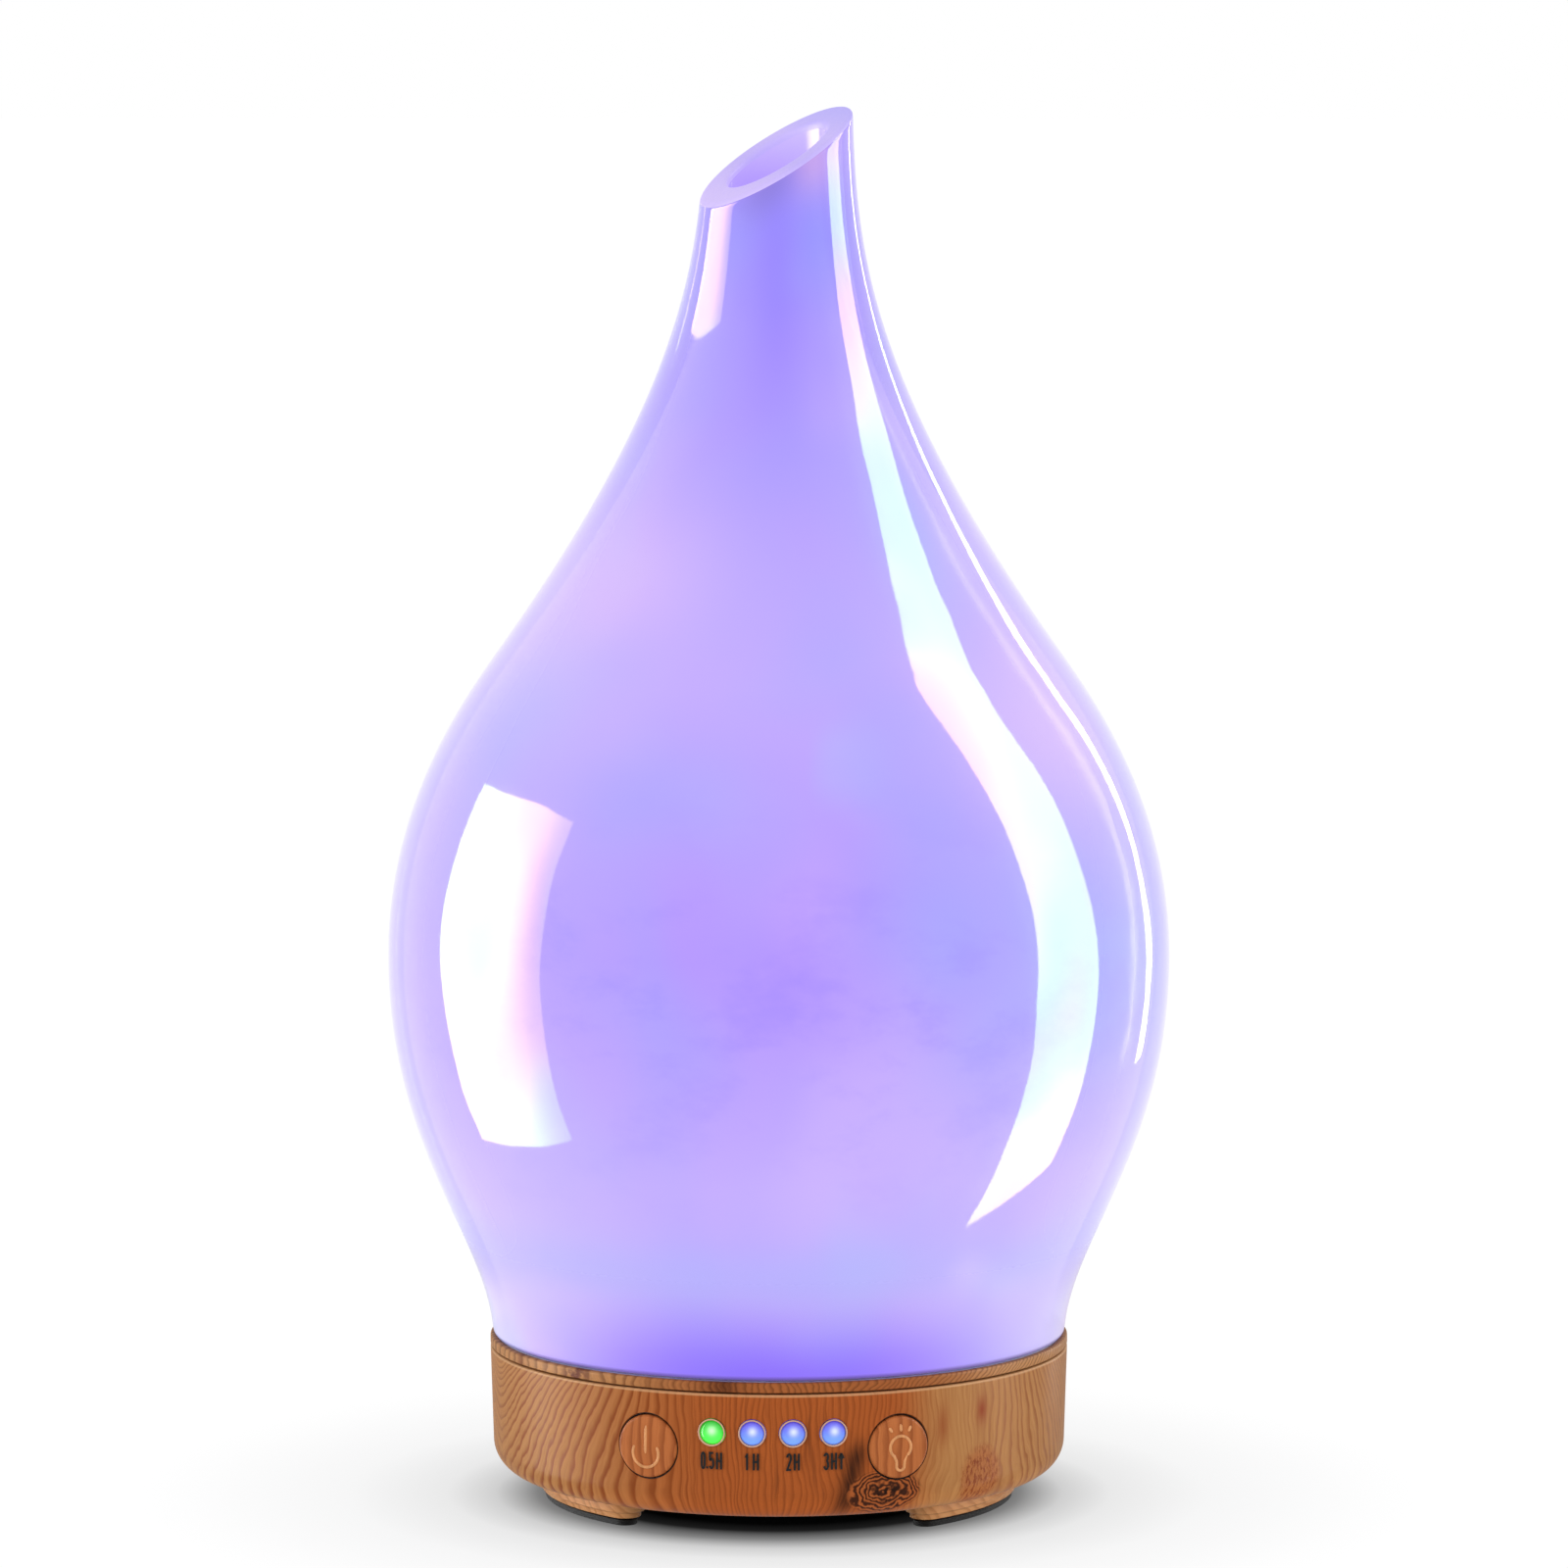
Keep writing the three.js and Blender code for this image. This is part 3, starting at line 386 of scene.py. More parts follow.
class Surface:
    """A procedural material under construction, with positions in millimetres."""

    def __init__(self, name):
        self.material = bpy.data.materials.new(name)
        self.material.use_nodes = True
        self.tree = self.material.node_tree
        self.shader = self.tree.nodes["Principled BSDF"]
        place = new_node(self.tree, "TexCoord", {}).outputs["Object"]
        split = new_node(self.tree, "SeparateXYZ", {0: place})
        self.x, self.y, self.z = (Field(self.tree, socket) * 1000 for socket in split.outputs)

    def azimuth(self):
        """The angle about Z in radians, 0 at the front and growing towards +X."""
        return self.x.calc("ARCTAN2", self.y * -1)

    def noise(self, x, y, z=0.0, detail=3.0, roughness=0.5):
        vector = new_node(self.tree, "CombineXYZ", {0: x, 1: y, 2: z})
        node = new_node(self.tree, "TexNoise", {"Vector": vector.outputs[0], "Scale": 1, "Detail": detail,
                                                "Roughness": roughness})
        return Field(self.tree, node.outputs[0])

    def grain(self, scale, detail=3.0, roughness=0.5):
        """Plain three-way noise; the scale is in bumps per millimetre."""
        return self.noise(self.x * scale, self.y * scale, self.z * scale, detail, roughness)

    def ramp(self, value, *stops):
        node = new_node(self.tree, "ValToRGB", {0: value})
        elements = node.color_ramp.elements
        while len(elements) < len(stops):
            elements.new(0.5)
        for element, (position, colour) in zip(elements, stops):
            element.position = position
            element.color = colour
        return node.outputs[0]

    def mix(self, share, first, second, blend="MIX"):
        node = self.tree.nodes.new("ShaderNodeMix")
        node.data_type = "RGBA"
        node.blend_type = blend
        for place, value in ((0, share), (6, first), (7, second)):  # the sockets of a colour mix
            connect(self.tree, node.inputs[place], value)
        return node.outputs[2]

    def layered(self, colour, *layers):
        """Lays tints over a colour, one after the other. A layer is (share, tint)."""
        for share, tint in layers:
            colour = self.mix(share, colour, tint)
        return colour

    def dimmed(self, colour, share):
        return self.mix(1.0, colour, (share, share, share, 1), "MULTIPLY")

    def bump(self, height):
        """Relief; the height is in millimetres."""
        node = new_node(self.tree, "Bump", {"Strength": 1.0, "Distance": MM, "Height": height})
        self.tree.links.new(node.outputs[0], self.shader.inputs["Normal"])

    def set(self, **values):
        for key, value in values.items():
            connect(self.tree, self.shader.inputs[SOCKETS[key]], value)


def scaled(colour, share):
    return tuple(min(1, c * share) for c in colour[:3]) + (1,)


def plastic(name, colour, roughness, texture=0.012, worn=0.1, scatter=0.0):
    """Moulded plastic or rubber: fine spark texture, faint blotches and slightly uneven gloss."""
    surface = Surface(name)
    blotches = surface.grain(0.08, 2)
    spark = surface.grain(2.6, 2, 0.6)
    darker, lighter = scaled(tone(*colour), 1 - worn * 2.2), scaled(tone(*colour), 1 + worn)
    surface.set(colour=surface.ramp(blotches + spark * 0.25 - 0.12, (0.25, darker), (0.75, lighter)),
                roughness=(blotches - 0.5) * 0.12 + (spark - 0.5) * 0.12 + roughness, scatter=scatter)
    surface.bump(spark * texture)
    return surface.material


def metal(name, colour, roughness, stretch=(1, 1, 1)):
    """Bare or plated metal with fine drawn lines and a little tarnish."""
    surface = Surface(name)
    lines = surface.noise(surface.x * stretch[0], surface.y * stretch[1], surface.z * stretch[2], 4, 0.6)
    tarnish = surface.grain(0.25, 3)
    bright = tone(*colour)
    surface.set(colour=surface.ramp(tarnish, (0.3, scaled(bright, 0.72)), (0.6, bright)), metallic=1.0,
                roughness=(lines - 0.5) * 0.3 + (tarnish - 0.5) * 0.15 + roughness)
    surface.bump(lines * 0.01)
    return surface.material


# ---- Wood print ----

LIGHT_WOOD = tone(184, 130, 76)
WARM_WOOD = tone(172, 88, 38)
LINE_WOOD = tone(132, 64, 24)
DARK_WOOD = tone(72, 34, 18)
RED_WOOD = tone(142, 62, 26)


def finish_wood(surface, colour, relief, roughness):
    pores = surface.grain(3.2, 2, 0.6)
    surface.set(colour=colour, roughness=roughness + (pores - 0.5) * 0.16, specular=0.08)
    surface.bump(relief + pores * 0.012)
    return surface.material


def growth_lines(surface, field, spacing, fibre_along):
    """Late-wood lines across a growth field, and fibres that run along them. Both go from 0 to 1."""
    wander = surface.noise(field * 0.09, fibre_along * 0.02, 0.0, 2)
    rings = ((field + (wander - 0.5) * 5) / spacing).fraction()
    lines = rings.rise(0.35, 0.86) * (1 - rings.rise(0.86, 0.99))
    fibres = surface.noise(field * 2.4, fibre_along * 0.09, 7.0, 4, 0.62)
    return lines, fibres


def housing_wood():
    """The print around the housing. u runs along the surface from the front, v is the height, both in mm."""
    surface = Surface("wood_print_housing")
    u = surface.azimuth() * BASE_RADIUS
    v = surface.z
    warp = surface.noise(u * 0.05, v * 0.07, 3.0, 2) - 0.5
    jitter = surface.noise(u * 0.4, v * 0.16, 5.0, 2) - 0.5

    # growth field: upright lines in front that fan out to both sides, folded into arrowheads on the far left
    fold, left_fan, right_fan, field_start = 64, 17, 38, 90
    drop = 27 - v
    folded = ((u + fold) * (u + fold) + 5).root() - fold
    left = (folded + left_fan) / (drop * 0.042 + 1) - left_fan
    right = (u - right_fan) / (drop * 0.036 + 1) + right_fan
    field = left.toward(right, u.rise(0, 20)) + field_start
    field = field.toward(u + field_start, u.rise(-20, -13) * (1 - u.rise(34, 40)))
    # the dark knot and the red knot: centre, half width, half height
    knots = []
    for centre, width, height in (((19.5, 9.0), 6.1, 3.5), ((39.5, 9.4), 4.6, 5.6)):
        across, up = (u - centre[0]) / width, (v - centre[1]) / height
        reach = (across * across + up * up + warp * 0.5).root()
        knots.append(reach)
        field = field + across * 3.4 * (reach * reach * -0.5).exponential()
    field = field + warp * 2.6 + jitter * 1.1

    wide, fibres = growth_lines(surface, field, 1.6, v)
    fine, _ = growth_lines(surface, field + 40, 0.98, v)
    medium, _ = growth_lines(surface, field + 11, 1.42, v)
    lines = wide.toward(fine, u.rise(-20, -6)).toward(medium, u.rise(34, 42))

    # ground colour: pale at both sides, warm in front, pale again right of the light button
    warm = u.rise(-48, -6) * (1 - u.rise(20, 32))
    # the lines are weaker in front and at the far left
    strength = 0.95 - u.rise(-26, 0) * 0.3 - u.bell(33, 8) * 0.5 - (1 - u.rise(-66, -52)) * 0.45
    # darker fibres in front
    streaks = surface.noise(field * 0.9, v * 0.03, 11.0, 3, 0.6).rise(0.56, 0.72) * u.bell(6, 12)
    # dark stain on the left of the light button, running down into the knot
    stain_at = u - 14.2 - (v - 15) * 0.22
    stain = stain_at.bell(0, 2.0) * v.rise(3, 8) * (1 - v.rise(15, 20))
    # the large dark knot: rings about its heart
    ring_noise = surface.noise(u * 0.32, v * 0.32, 0.0, 3, 0.5) - 0.5
    knot_rings = ((knots[0] * 12 + ring_noise * 9) * math.pi).sin() * 0.5 + 0.5
    burnt = surface.noise(u * 0.9, v * 0.9, 4.0, 2).rise(0.48, 0.62) * (1 - knots[0].rise(0.3, 0.8))
    knot_colour = surface.layered(tone(62, 30, 16), (knot_rings.rise(0.05, 1.0), tone(166, 88, 42)),
                                  (burnt, tone(38, 20, 13)))
    # the red knot: broken flame lines
    flames = surface.noise(u * 1.7, v * 0.7, 9.0, 3, 0.7).rise(0.46, 0.6)
    inside_red = 1 - knots[1].rise(0.7, 1.2)
    # painted highlight: a light line just under the top edge of the housing, where its bevel catches the
    # light
    top_bevel_highlight = v.rise(HOUSING_TOP - 0.55, HOUSING_TOP - 0.2)
    colour = surface.layered(
        LIGHT_WOOD, (warm, WARM_WOOD), ((fibres - 0.35) * 1.1, tone(132, 66, 28)),
        (lines * strength, LINE_WOOD), (top_bevel_highlight * 0.45, tone(236, 190, 140)),
        (streaks * 0.6, DARK_WOOD), (stain * (fibres * 0.7 + 0.5), tone(40, 20, 12)),
        (1 - knots[0].rise(0.98, 1.22), knot_colour),
        (inside_red * 0.7, tone(168, 96, 48)), (inside_red * flames * 0.9, tone(126, 54, 18)))
    # painted light: the rounded lower edge is made a little paler, as if lit from the floor below
    colour = surface.mix((1 - v.rise(4.5, 9.5)) * 0.8, colour, (1.5, 1.45, 1.35, 1), "MULTIPLY")
    # a small red spot and its fainter neighbour above that knot
    for centre, width, height, depth in (((39.2, 21.2), 1.2, 2.4, 1.0), ((30.6, 19.5), 1.3, 3.8, 0.6)):
        spot = u.bell(centre[0], width) * v.bell(centre[1], height)
        colour = surface.mix(spot * depth, colour, RED_WOOD)
    return finish_wood(surface, colour, lines * -0.006 + fibres * 0.008, 0.4 - lines * 0.05)


def seat_wood():
    surface = Surface("wood_print_seat")
    u = surface.azimuth() * BASE_RADIUS
    v = surface.z
    warp = surface.noise(u * 0.12, v * 0.3, 1.0, 2) - 0.5
    field = u + (v - 27) * u.rise(5, 30) * -1.2 + warp * 4
    wide, fibres = growth_lines(surface, field, 2.6, v)
    fine, _ = growth_lines(surface, field + 9, 1.15, v)
    lines = wide.toward(fine, u.rise(-30, -8))
    blot = surface.noise(u * 0.6, v * 0.8, 6.0, 2).rise(0.36, 0.56)
    colour = surface.layered(
        tone(196, 142, 90), (u.rise(-40, -5) * (1 - u.rise(20, 50)), tone(168, 96, 50)),
        ((fibres - 0.3) * 0.9, tone(124, 70, 36)), (lines * 0.7, tone(104, 56, 26)),
        (u.bell(-37, 3) * blot, tone(88, 34, 20)), (u.bell(-8.5, 3.4) * (fibres * 0.8 + 0.25), DARK_WOOD),
        (u.bell(-53, 1.2) * 0.7, tone(110, 54, 26)))
    return finish_wood(surface, colour, lines * -0.006 + fibres * 0.008, 0.4)


def cap_wood(name, azimuth, seed):
    """Grain of a button: upright lines that belong to the button itself."""
    surface = Surface(name)
    u = (surface.azimuth() - math.radians(azimuth)) * BASE_RADIUS
    v = surface.z - BUTTON_HEIGHT
    warp = surface.noise(u * 0.2, v * 0.12, seed, 2) - 0.5
    field = u + v * 0.06 + warp * 2.6 + seed * 9
    lines, fibres = growth_lines(surface, field, 2.1, v)
    colour = surface.layered(tone(190, 112, 62), ((fibres - 0.3) * 1.1, tone(148, 76, 36)),
                             (lines * 0.55, tone(120, 54, 24)))
    return finish_wood(surface, colour, lines * -0.006 + fibres * 0.008, 0.34)


def relief_wood(name, colour, roughness):
    """Plain colour on the icon pieces: a lighter one paints a highlight on the ridges, a darker one paints a
    shade round them.
    """
    surface = Surface(name)
    fibres = surface.noise(surface.x * 1.6, surface.y * 1.6, surface.z * 0.3, 3)
    tones = surface.ramp(fibres, (0.3, scaled(colour, 0.7)), (0.6, colour))
    return finish_wood(surface, tones, fibres * 0.01, roughness)


def foot_wood():
    surface = Surface("wood_print_foot_painted_light")
    warp = surface.grain(0.09, 2) - 0.5
    field = surface.x + surface.z * 0.9 + warp * 9
    lines, fibres = growth_lines(surface, field, 2.1, surface.y)
    # painted light: the foot's ground colour is lighter than the housing's print, standing in for light
    # thrown up from the floor
    colour = surface.layered(tone(240, 176, 118), ((fibres - 0.3) * 0.6, tone(198, 122, 68)),
                             (lines * 0.4, tone(164, 92, 46)))
    return finish_wood(surface, colour, lines * -0.006 + fibres * 0.01, 0.4)


# ---- Glass ----

# tints at set places on the glass: angle, width, height, width, depth, colour
GLASS_TINTS = (
    (1.05, 0.4, 98, 24, 0.7, (140, 160, 254)), (0.5, 0.24, 106, 22, 0.6, (152, 160, 254)),
    (1.0, 0.34, 136, 14, 0.6, (226, 184, 250)), (-0.35, 0.3, 128, 9, 0.6, (160, 162, 254)),
    (-0.95, 0.35, 138, 14, 0.5, (150, 160, 254)), (-0.7, 0.5, 162, 12, 0.5, (222, 184, 252)),
    (0.5, 0.35, 231, 6, 0.8, (214, 168, 228)), (0.55, 0.4, 217, 11, 0.7, (148, 152, 254)),
    (-0.6, 0.4, 219, 9, 0.7, (160, 160, 254)), (0.0, 0.25, 210, 22, 0.6, (146, 126, 252)),
    (0.75, 0.2, 170, 14, 0.5, (150, 176, 254)), (-0.9, 0.4, 52, 9, 0.4, (216, 180, 252)),
)


def lavender(surface):
    """The lit lavender of the glass: bands by height, with large soft pink, blue and cyan patches."""
    angle = surface.azimuth()
    z = surface.z
    bands = surface.ramp(
        z / GLASS_TOP, (0.16, tone(178, 158, 254)), (0.26, tone(188, 164, 254)), (0.42, tone(176, 148, 254)),
        (0.60, tone(186, 160, 254)), (0.78, tone(166, 146, 253)), (0.92, tone(156, 138, 252)),
        (1.0, tone(172, 150, 254)))
    patches = surface.noise(surface.x * 0.018, surface.y * 0.018, z * 0.013, 2, 0.45)
    cyan = surface.noise(surface.x * 0.03 + 9, surface.y * 0.03, z * 0.02, 2, 0.4).rise(0.6, 0.72)
    colour = surface.layered(bands, (patches.rise(0.52, 0.68) * 0.4, tone(216, 180, 252)),
                             ((1 - patches.rise(0.34, 0.48)) * 0.5, tone(158, 156, 254)),
                             (cyan * 0.3, tone(168, 188, 252)))
    for place, spread, height, tall, depth, tint in GLASS_TINTS:
        colour = surface.mix(angle.bell(place, spread) * z.bell(height, tall) * depth, colour, tone(*tint))
    # the shadow that the slanted lip throws down the front
    rise = surface.x * math.cos(SPOUT_RISE) + surface.y * math.sin(SPOUT_RISE)
    below_lip = rise * SPOUT_SLOPE + SPOUT_CENTRE - z
    lip_shadow = below_lip.bell(0, 5) * angle.bell(-0.1, 0.4) * 0.6
    # deeper colour in a band above the base, strongest in front and behind
    foot_band = 1 - (z + surface.noise(surface.x * 0.04, surface.y * 0.04, 0.0, 1) * 6).rise(31, 47)
    along = angle.calc("COSINE")
    cloud = surface.noise(surface.x * 0.05, surface.y * 0.05, z * 0.09, 5, 0.6).rise(0.46, 0.7)
    return surface.layered(
        colour, (z.bell(47, 6) * 0.6, tone(168, 172, 254)), (lip_shadow, tone(128, 114, 196)),
        (foot_band * (along * along * 0.9 + 0.08), tone(132, 104, 254)),
        (cloud * z.bell(92, 26) * 0.36, tone(146, 126, 252)))


def slant_of(surface):
    """0 where the glass is seen face on and 1 at its outline."""
    weight = new_node(surface.tree, "LayerWeight", {"Blend": 0.5})
    return Field(surface.tree, weight.outputs["Facing"])


def clear_share(surface):
    """How much shows through blown glass: almost nothing face on, nearly all at its outline."""
    slant = slant_of(surface)
    return slant.power(0.8) * 0.66 + slant.power(7) * 0.34


def through(surface, share):
    """Mixes the surface with a clear path for light."""
    clear = new_node(surface.tree, "BsdfTransparent", {})
    blend = new_node(surface.tree, "MixShader", {0: share, 1: surface.shader.outputs[0], 2: clear.outputs[0]})
    output = surface.tree.nodes["Material Output"]
    surface.tree.links.new(blend.outputs[0], output.inputs["Surface"])


def glass_outside():
    surface = Surface("glass_outside")
    colour = lavender(surface)
    film = surface.noise(surface.x * 0.02, surface.y * 0.02, surface.z * 0.016 + 5, 2, 0.4)
    ripple = surface.noise(surface.x * 0.03, surface.y * 0.03, surface.z * 0.02, 2)
    speck = surface.grain(1.2, 2)
    surface.set(colour=surface.dimmed(colour, 0.42))
    etched_foot = (1 - surface.z.rise(34, 62)).power(2)
    # painted shade: a dark line along the foot of the glass, where it meets the seat
    foot_contact_shade = 1 - surface.z.rise(GLASS_FOOT + 0.3, GLASS_FOOT + 0.9)
    # painted sheen: towards its outline the glow of the etched foot turns almost white
    colour = surface.layered(colour, (etched_foot * slant_of(surface).power(1.6) * 1.3, tone(246, 240, 255)),
                             (foot_contact_shade * 0.8, tone(70, 56, 120)))
    roughness = (speck - 0.5) * 0.03 + 0.045 + etched_foot * 0.62
    surface.set(emission=colour, glow=0.58, ior=1.5, roughness=roughness, film=film * 700 + 150, film_ior=1.6)
    surface.bump(ripple * 0.5 + speck * 0.0015)
    through(surface, clear_share(surface) * (1 - etched_foot * 0.85))
    return surface.material


def glass_inside():
    """The inner face: a milky skin that glows pale as painted light, standing in for the lit mist inside; it
    gets deeper in colour inside the spout.
    """
    surface = Surface("glass_inside")
    colour = surface.ramp(surface.z / GLASS_TOP, (0.84, tone(240, 232, 255)), (0.90, tone(180, 154, 252)),
                          (0.94, tone(188, 164, 252)), (0.985, tone(214, 198, 254)))
    speck = surface.grain(0.9, 2)
    surface.set(colour=surface.dimmed(colour, 0.3), emission=colour, glow=0.72, ior=1.5,
                roughness=(speck - 0.5) * 0.05 + 0.16)
    surface.bump(surface.grain(0.05, 2) * 0.4)
    through(surface, slant_of(surface).power(3) * 0.98)
    return surface.material


def glass_lip():
    """The ground edge around the spout."""
    surface = Surface("glass_lip")
    frost = surface.grain(1.5, 3, 0.6)
    along = surface.z.rise(222, 243)
    colour = surface.ramp(along + (frost - 0.5) * 0.08, (0.05, tone(214, 196, 254)),
                          (0.4, tone(196, 180, 250)), (0.7, tone(204, 188, 252)), (1.0, tone(184, 176, 252)))
    surface.set(colour=surface.dimmed(colour, 0.4), emission=colour, glow=0.6, ior=1.5, specular=0.25,
                roughness=(frost - 0.5) * 0.2 + 0.4)
    surface.bump(frost * 0.03)
    return surface.material


# ---- Materials ----

wood_housing = housing_wood()
wood_seat = seat_wood()
wood_foot = foot_wood()
button_wood = {name: cap_wood(f"wood_cap_{name}", azimuth, seed)
               for seed, (name, azimuth) in enumerate(BUTTON_AZIMUTHS.items(), 1)}
black_plastic = plastic("black_plastic_grained", (20, 20, 22), 0.55)
white_plastic = plastic("white_plastic_grained", (238, 239, 243), 0.38, worn=0.015, scatter=0.1)
black_rubber = plastic("black_rubber_matt", (7, 7, 7), 0.85, texture=0.03)
silicone = plastic("silicone_milky", (226, 226, 234), 0.5, worn=0.04, scatter=0.25)
steel = metal("steel_plated", (196, 199, 204), 0.34, (3, 3, 0.4))
aluminium = metal("aluminium_extruded", (202, 204, 208), 0.42, (0.3, 0.3, 5))
copper = metal("copper_wound", (196, 118, 72), 0.36, (0.3, 0.3, 9))
brass = metal("brass_coated", (214, 184, 112), 0.3, (2, 2, 2))
green_board = plastic("green_board_masked", (34, 110, 62), 0.4, worn=0.12)
white_board = plastic("white_board_masked", (232, 234, 236), 0.42, worn=0.03)
led_resin = plastic("led_resin_clear", (240, 243, 246), 0.16, texture=0.002, worn=0.02)
blue_sleeve = plastic("blue_sleeve_shrunk", (44, 74, 134), 0.34)
red_wire = plastic("red_wire_skin", (178, 44, 36), 0.42)
white_wire = plastic("white_wire_skin", (218, 218, 218), 0.42, worn=0.03)
label_ink = plastic("label_ink", (16, 14, 14), 0.5, texture=0.004)
rim_plastic = plastic("lens_rim", (206, 160, 134), 0.3, texture=0.004, worn=0.03)


def lens_material(name, top, bottom, bright, glow):
    """A lit light pipe with a painted highlight: a bright spot near the top of its face. The lenses are
    evenly spaced.
    """
    surface = Surface(name)
    shade = surface.z.rise(TIMER_HEIGHT - 2, TIMER_HEIGHT + 2)
    swirl = surface.grain(0.7, 2)
    pitch = math.radians(TIMER_AZIMUTHS[1] - TIMER_AZIMUTHS[0])
    across = ((surface.azimuth() / pitch + 8).fraction() - 0.5) * (pitch * BASE_RADIUS)
    # painted highlight: a pale glint in the upper middle of each lens
    spot = across.bell(0.1, 0.75) * surface.z.bell(TIMER_HEIGHT + 0.35, 0.75)
    colour = surface.mix(shade + (swirl - 0.5) * 0.2, bottom, top)
    colour = surface.mix(spot * 0.8, colour, bright)
    surface.set(colour=colour, emission=colour, glow=glow, roughness=(swirl - 0.5) * 0.05 + 0.12, coat=1.0,
                coat_roughness=0.04)
    surface.bump(swirl * 0.02)
    return surface.material


# the third colour of each lens is its painted highlight
green_lens = lens_material("green_lens_lit", tone(30, 168, 38), tone(70, 240, 72), tone(196, 255, 190), 0.55)
violet_lens = lens_material("violet_lens_lit", tone(84, 74, 200), tone(104, 150, 246),
                            tone(206, 214, 255), 0.5)
# painted highlight: the raised icon strokes are coloured lighter than the cap
icon_ridge = relief_wood("icon_ridge_painted_highlight", tone(224, 158, 104), 0.3)
# painted shade: a dark outline colour for the wide tube just under each icon stroke
icon_outline_shade = relief_wood("icon_outline_painted_shade", tone(112, 54, 26), 0.5)


# ---- Glass cover ----

def glass_point(position):
    """Radius, height and wall direction of the outside; the position runs from 0 to 3 over its stretches."""
    index = min(2, int(position))
    t = position - index
    point = bezier(GLASS_OUTLINE[index], t)
    ahead = bezier(GLASS_OUTLINE[index], min(1, t + 0.001)) - bezier(GLASS_OUTLINE[index], max(0, t - 0.001))
    direction = ahead.normalized()
    return point, Vector((-direction.y, direction.x))


def wall_thickness(height):
    """2.6 mm in the belly, growing to 4.6 mm at the lip."""
    share = min(1, max(0, (height - 150) / 76))
    return 2.6 + share * 2


def inner_point(position):
    point, inward = glass_point(position)
    return point + inward * wall_thickness(point.y)


def meeting(curve, slope):
    """Where a curve of the wall meets the slanted cut in one upright plane."""
    low, high = 2.5, 3.0
    for _ in range(40):
        middle = (low + high) / 2
        point = curve(middle)
        if point.y < SPOUT_CENTRE + slope * point.x:
            low = middle
        else:
            high = middle
    return low


def glass_column(angle):
    """One upright section of the wall: up the outside, over the lip, down the inside and across the foot."""
    slope = SPOUT_SLOPE * math.cos(angle - SPOUT_RISE)
    outer = lambda position: glass_point(position)[0]
    outer_end = meeting(outer, slope)
    inner_end = meeting(inner_point, slope)
    rows = 150
    back_off = 0.018
    outside = [outer(0.02 + (outer_end - back_off - 0.02) * row / rows) for row in range(rows + 1)]
    inside = [inner_point((inner_end - back_off) * (1 - row / rows)) for row in range(rows + 1)]
    outer_corner, inner_corner = outer(outer_end), inner_point(inner_end)
    across = (inner_corner - outer_corner).normalized()
    outer_arc = arc(outside[-1], outer_corner, outer_corner + across * 1.3, 7)
    inner_arc = arc(inner_corner - across * 1.1, inner_corner, inside[0], 6)
    flat = [outer_arc[-1].lerp(inner_arc[0], t / 4) for t in range(1, 4)]
    lip = outer_arc[1:] + flat + inner_arc[:-1]
    foot_inner = Vector((inside[-1].x, GLASS_FOOT))
    inside[-1] = foot_inner + Vector((0, 0.6))
    foot = arc(inside[-1], foot_inner, foot_inner + Vector((0.5, 0)), 3)[1:]
    foot += arc(Vector((49.0, GLASS_FOOT)), Vector((49.5, GLASS_FOOT)), outside[0], 3)[:-1]
    return outside, lip, inside, foot


def build_glass():
    outside, lip, inside, foot = (len(part) for part in glass_column(0))
    kinds = [0] * (outside + 1) + [1] * (lip - 1) + [2] * inside + [0] * foot
    shape = turned(lambda angle: [point for part in glass_column(angle) for point in part], ROUND)
    piece = raw_object("glass_cover_fine", shape)
    for material in (glass_outside(), glass_lip(), glass_inside()):
        piece.data.materials.append(material)
    piece.data.polygons.foreach_set("material_index", kinds * ROUND)
    piece.data.polygons.foreach_set("use_smooth", [True] * len(piece.data.polygons))
    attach(piece, "glass")
    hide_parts("glass_cover")


build_glass()


# ---- Round pieces of the base ----

def groove(inner, outer, top):
    return [(outer, top, 0.1), (outer, top - 1, 0.1), (inner, top - 1, 0.1), (inner, top, 0.1)]


def lower_edge():
    return [(44 + 5.5 * math.sin(a), 10 - 5.5 * math.cos(a), 0)
            for a in (math.radians(step * 90 / 14) for step in range(15))]


housing_profile = rounded(
    [(42.3, 4.5, 0.2)] + lower_edge() + [(50, HOUSING_TOP, 0.4)] + groove(43.9, 45.9, HOUSING_TOP)
    + [(43, HOUSING_TOP, 0.1), (43, 24.2, 0.1), (47.6, 24.2, 0.3), (47.6, 11.8, 2), (45, 6.9, 2),
       (42.3, 6.5, 0.2)],
    0.2)


def hole(azimuth, height, radius, flare):
    """A cutter for a radial hole whose outer rim is slightly broken."""
    profile = [(0, 44.6), (radius, 44.6), (radius, 49.35), (radius + flare, 50.1), (radius + flare, 51.5),
               (0, 51.5)]
    return moved(turn(profile, 64), facing(azimuth, height))


holes = [hole(azimuth, BUTTON_HEIGHT, 5.65, 0.22) for azimuth in BUTTON_AZIMUTHS.values()]
holes += [hole(azimuth, TIMER_HEIGHT, 2.35, 0.15) for azimuth in TIMER_AZIMUTHS]
holes.append(hole(180, SOCKET_HEIGHT, 4.3, 0.25))
remake("base_housing", turn(housing_profile, 256), wood_housing, "wood_print", cuts=holes)

seat_profile = rounded(
    [(46.3, SEAT_BOTTOM), (50, SEAT_BOTTOM, 0.3), (50, SEAT_TOP, 0.45)] + groove(47.2, 48.9, SEAT_TOP)
    + [(46.3, SEAT_TOP)], 0.15)
remake("seat_ring", turn(seat_profile, 256), wood_seat, "wood_print")

gasket_profile = rounded([(47.5, 27.6), (48.6, 27.6), (48.6, 28.3, 0.45), (47.5, 28.3, 0.45)], 0.1)
remake("glass_seat_gasket", turn(gasket_profile), silicone, "silicone")


# ---- Buttons ----

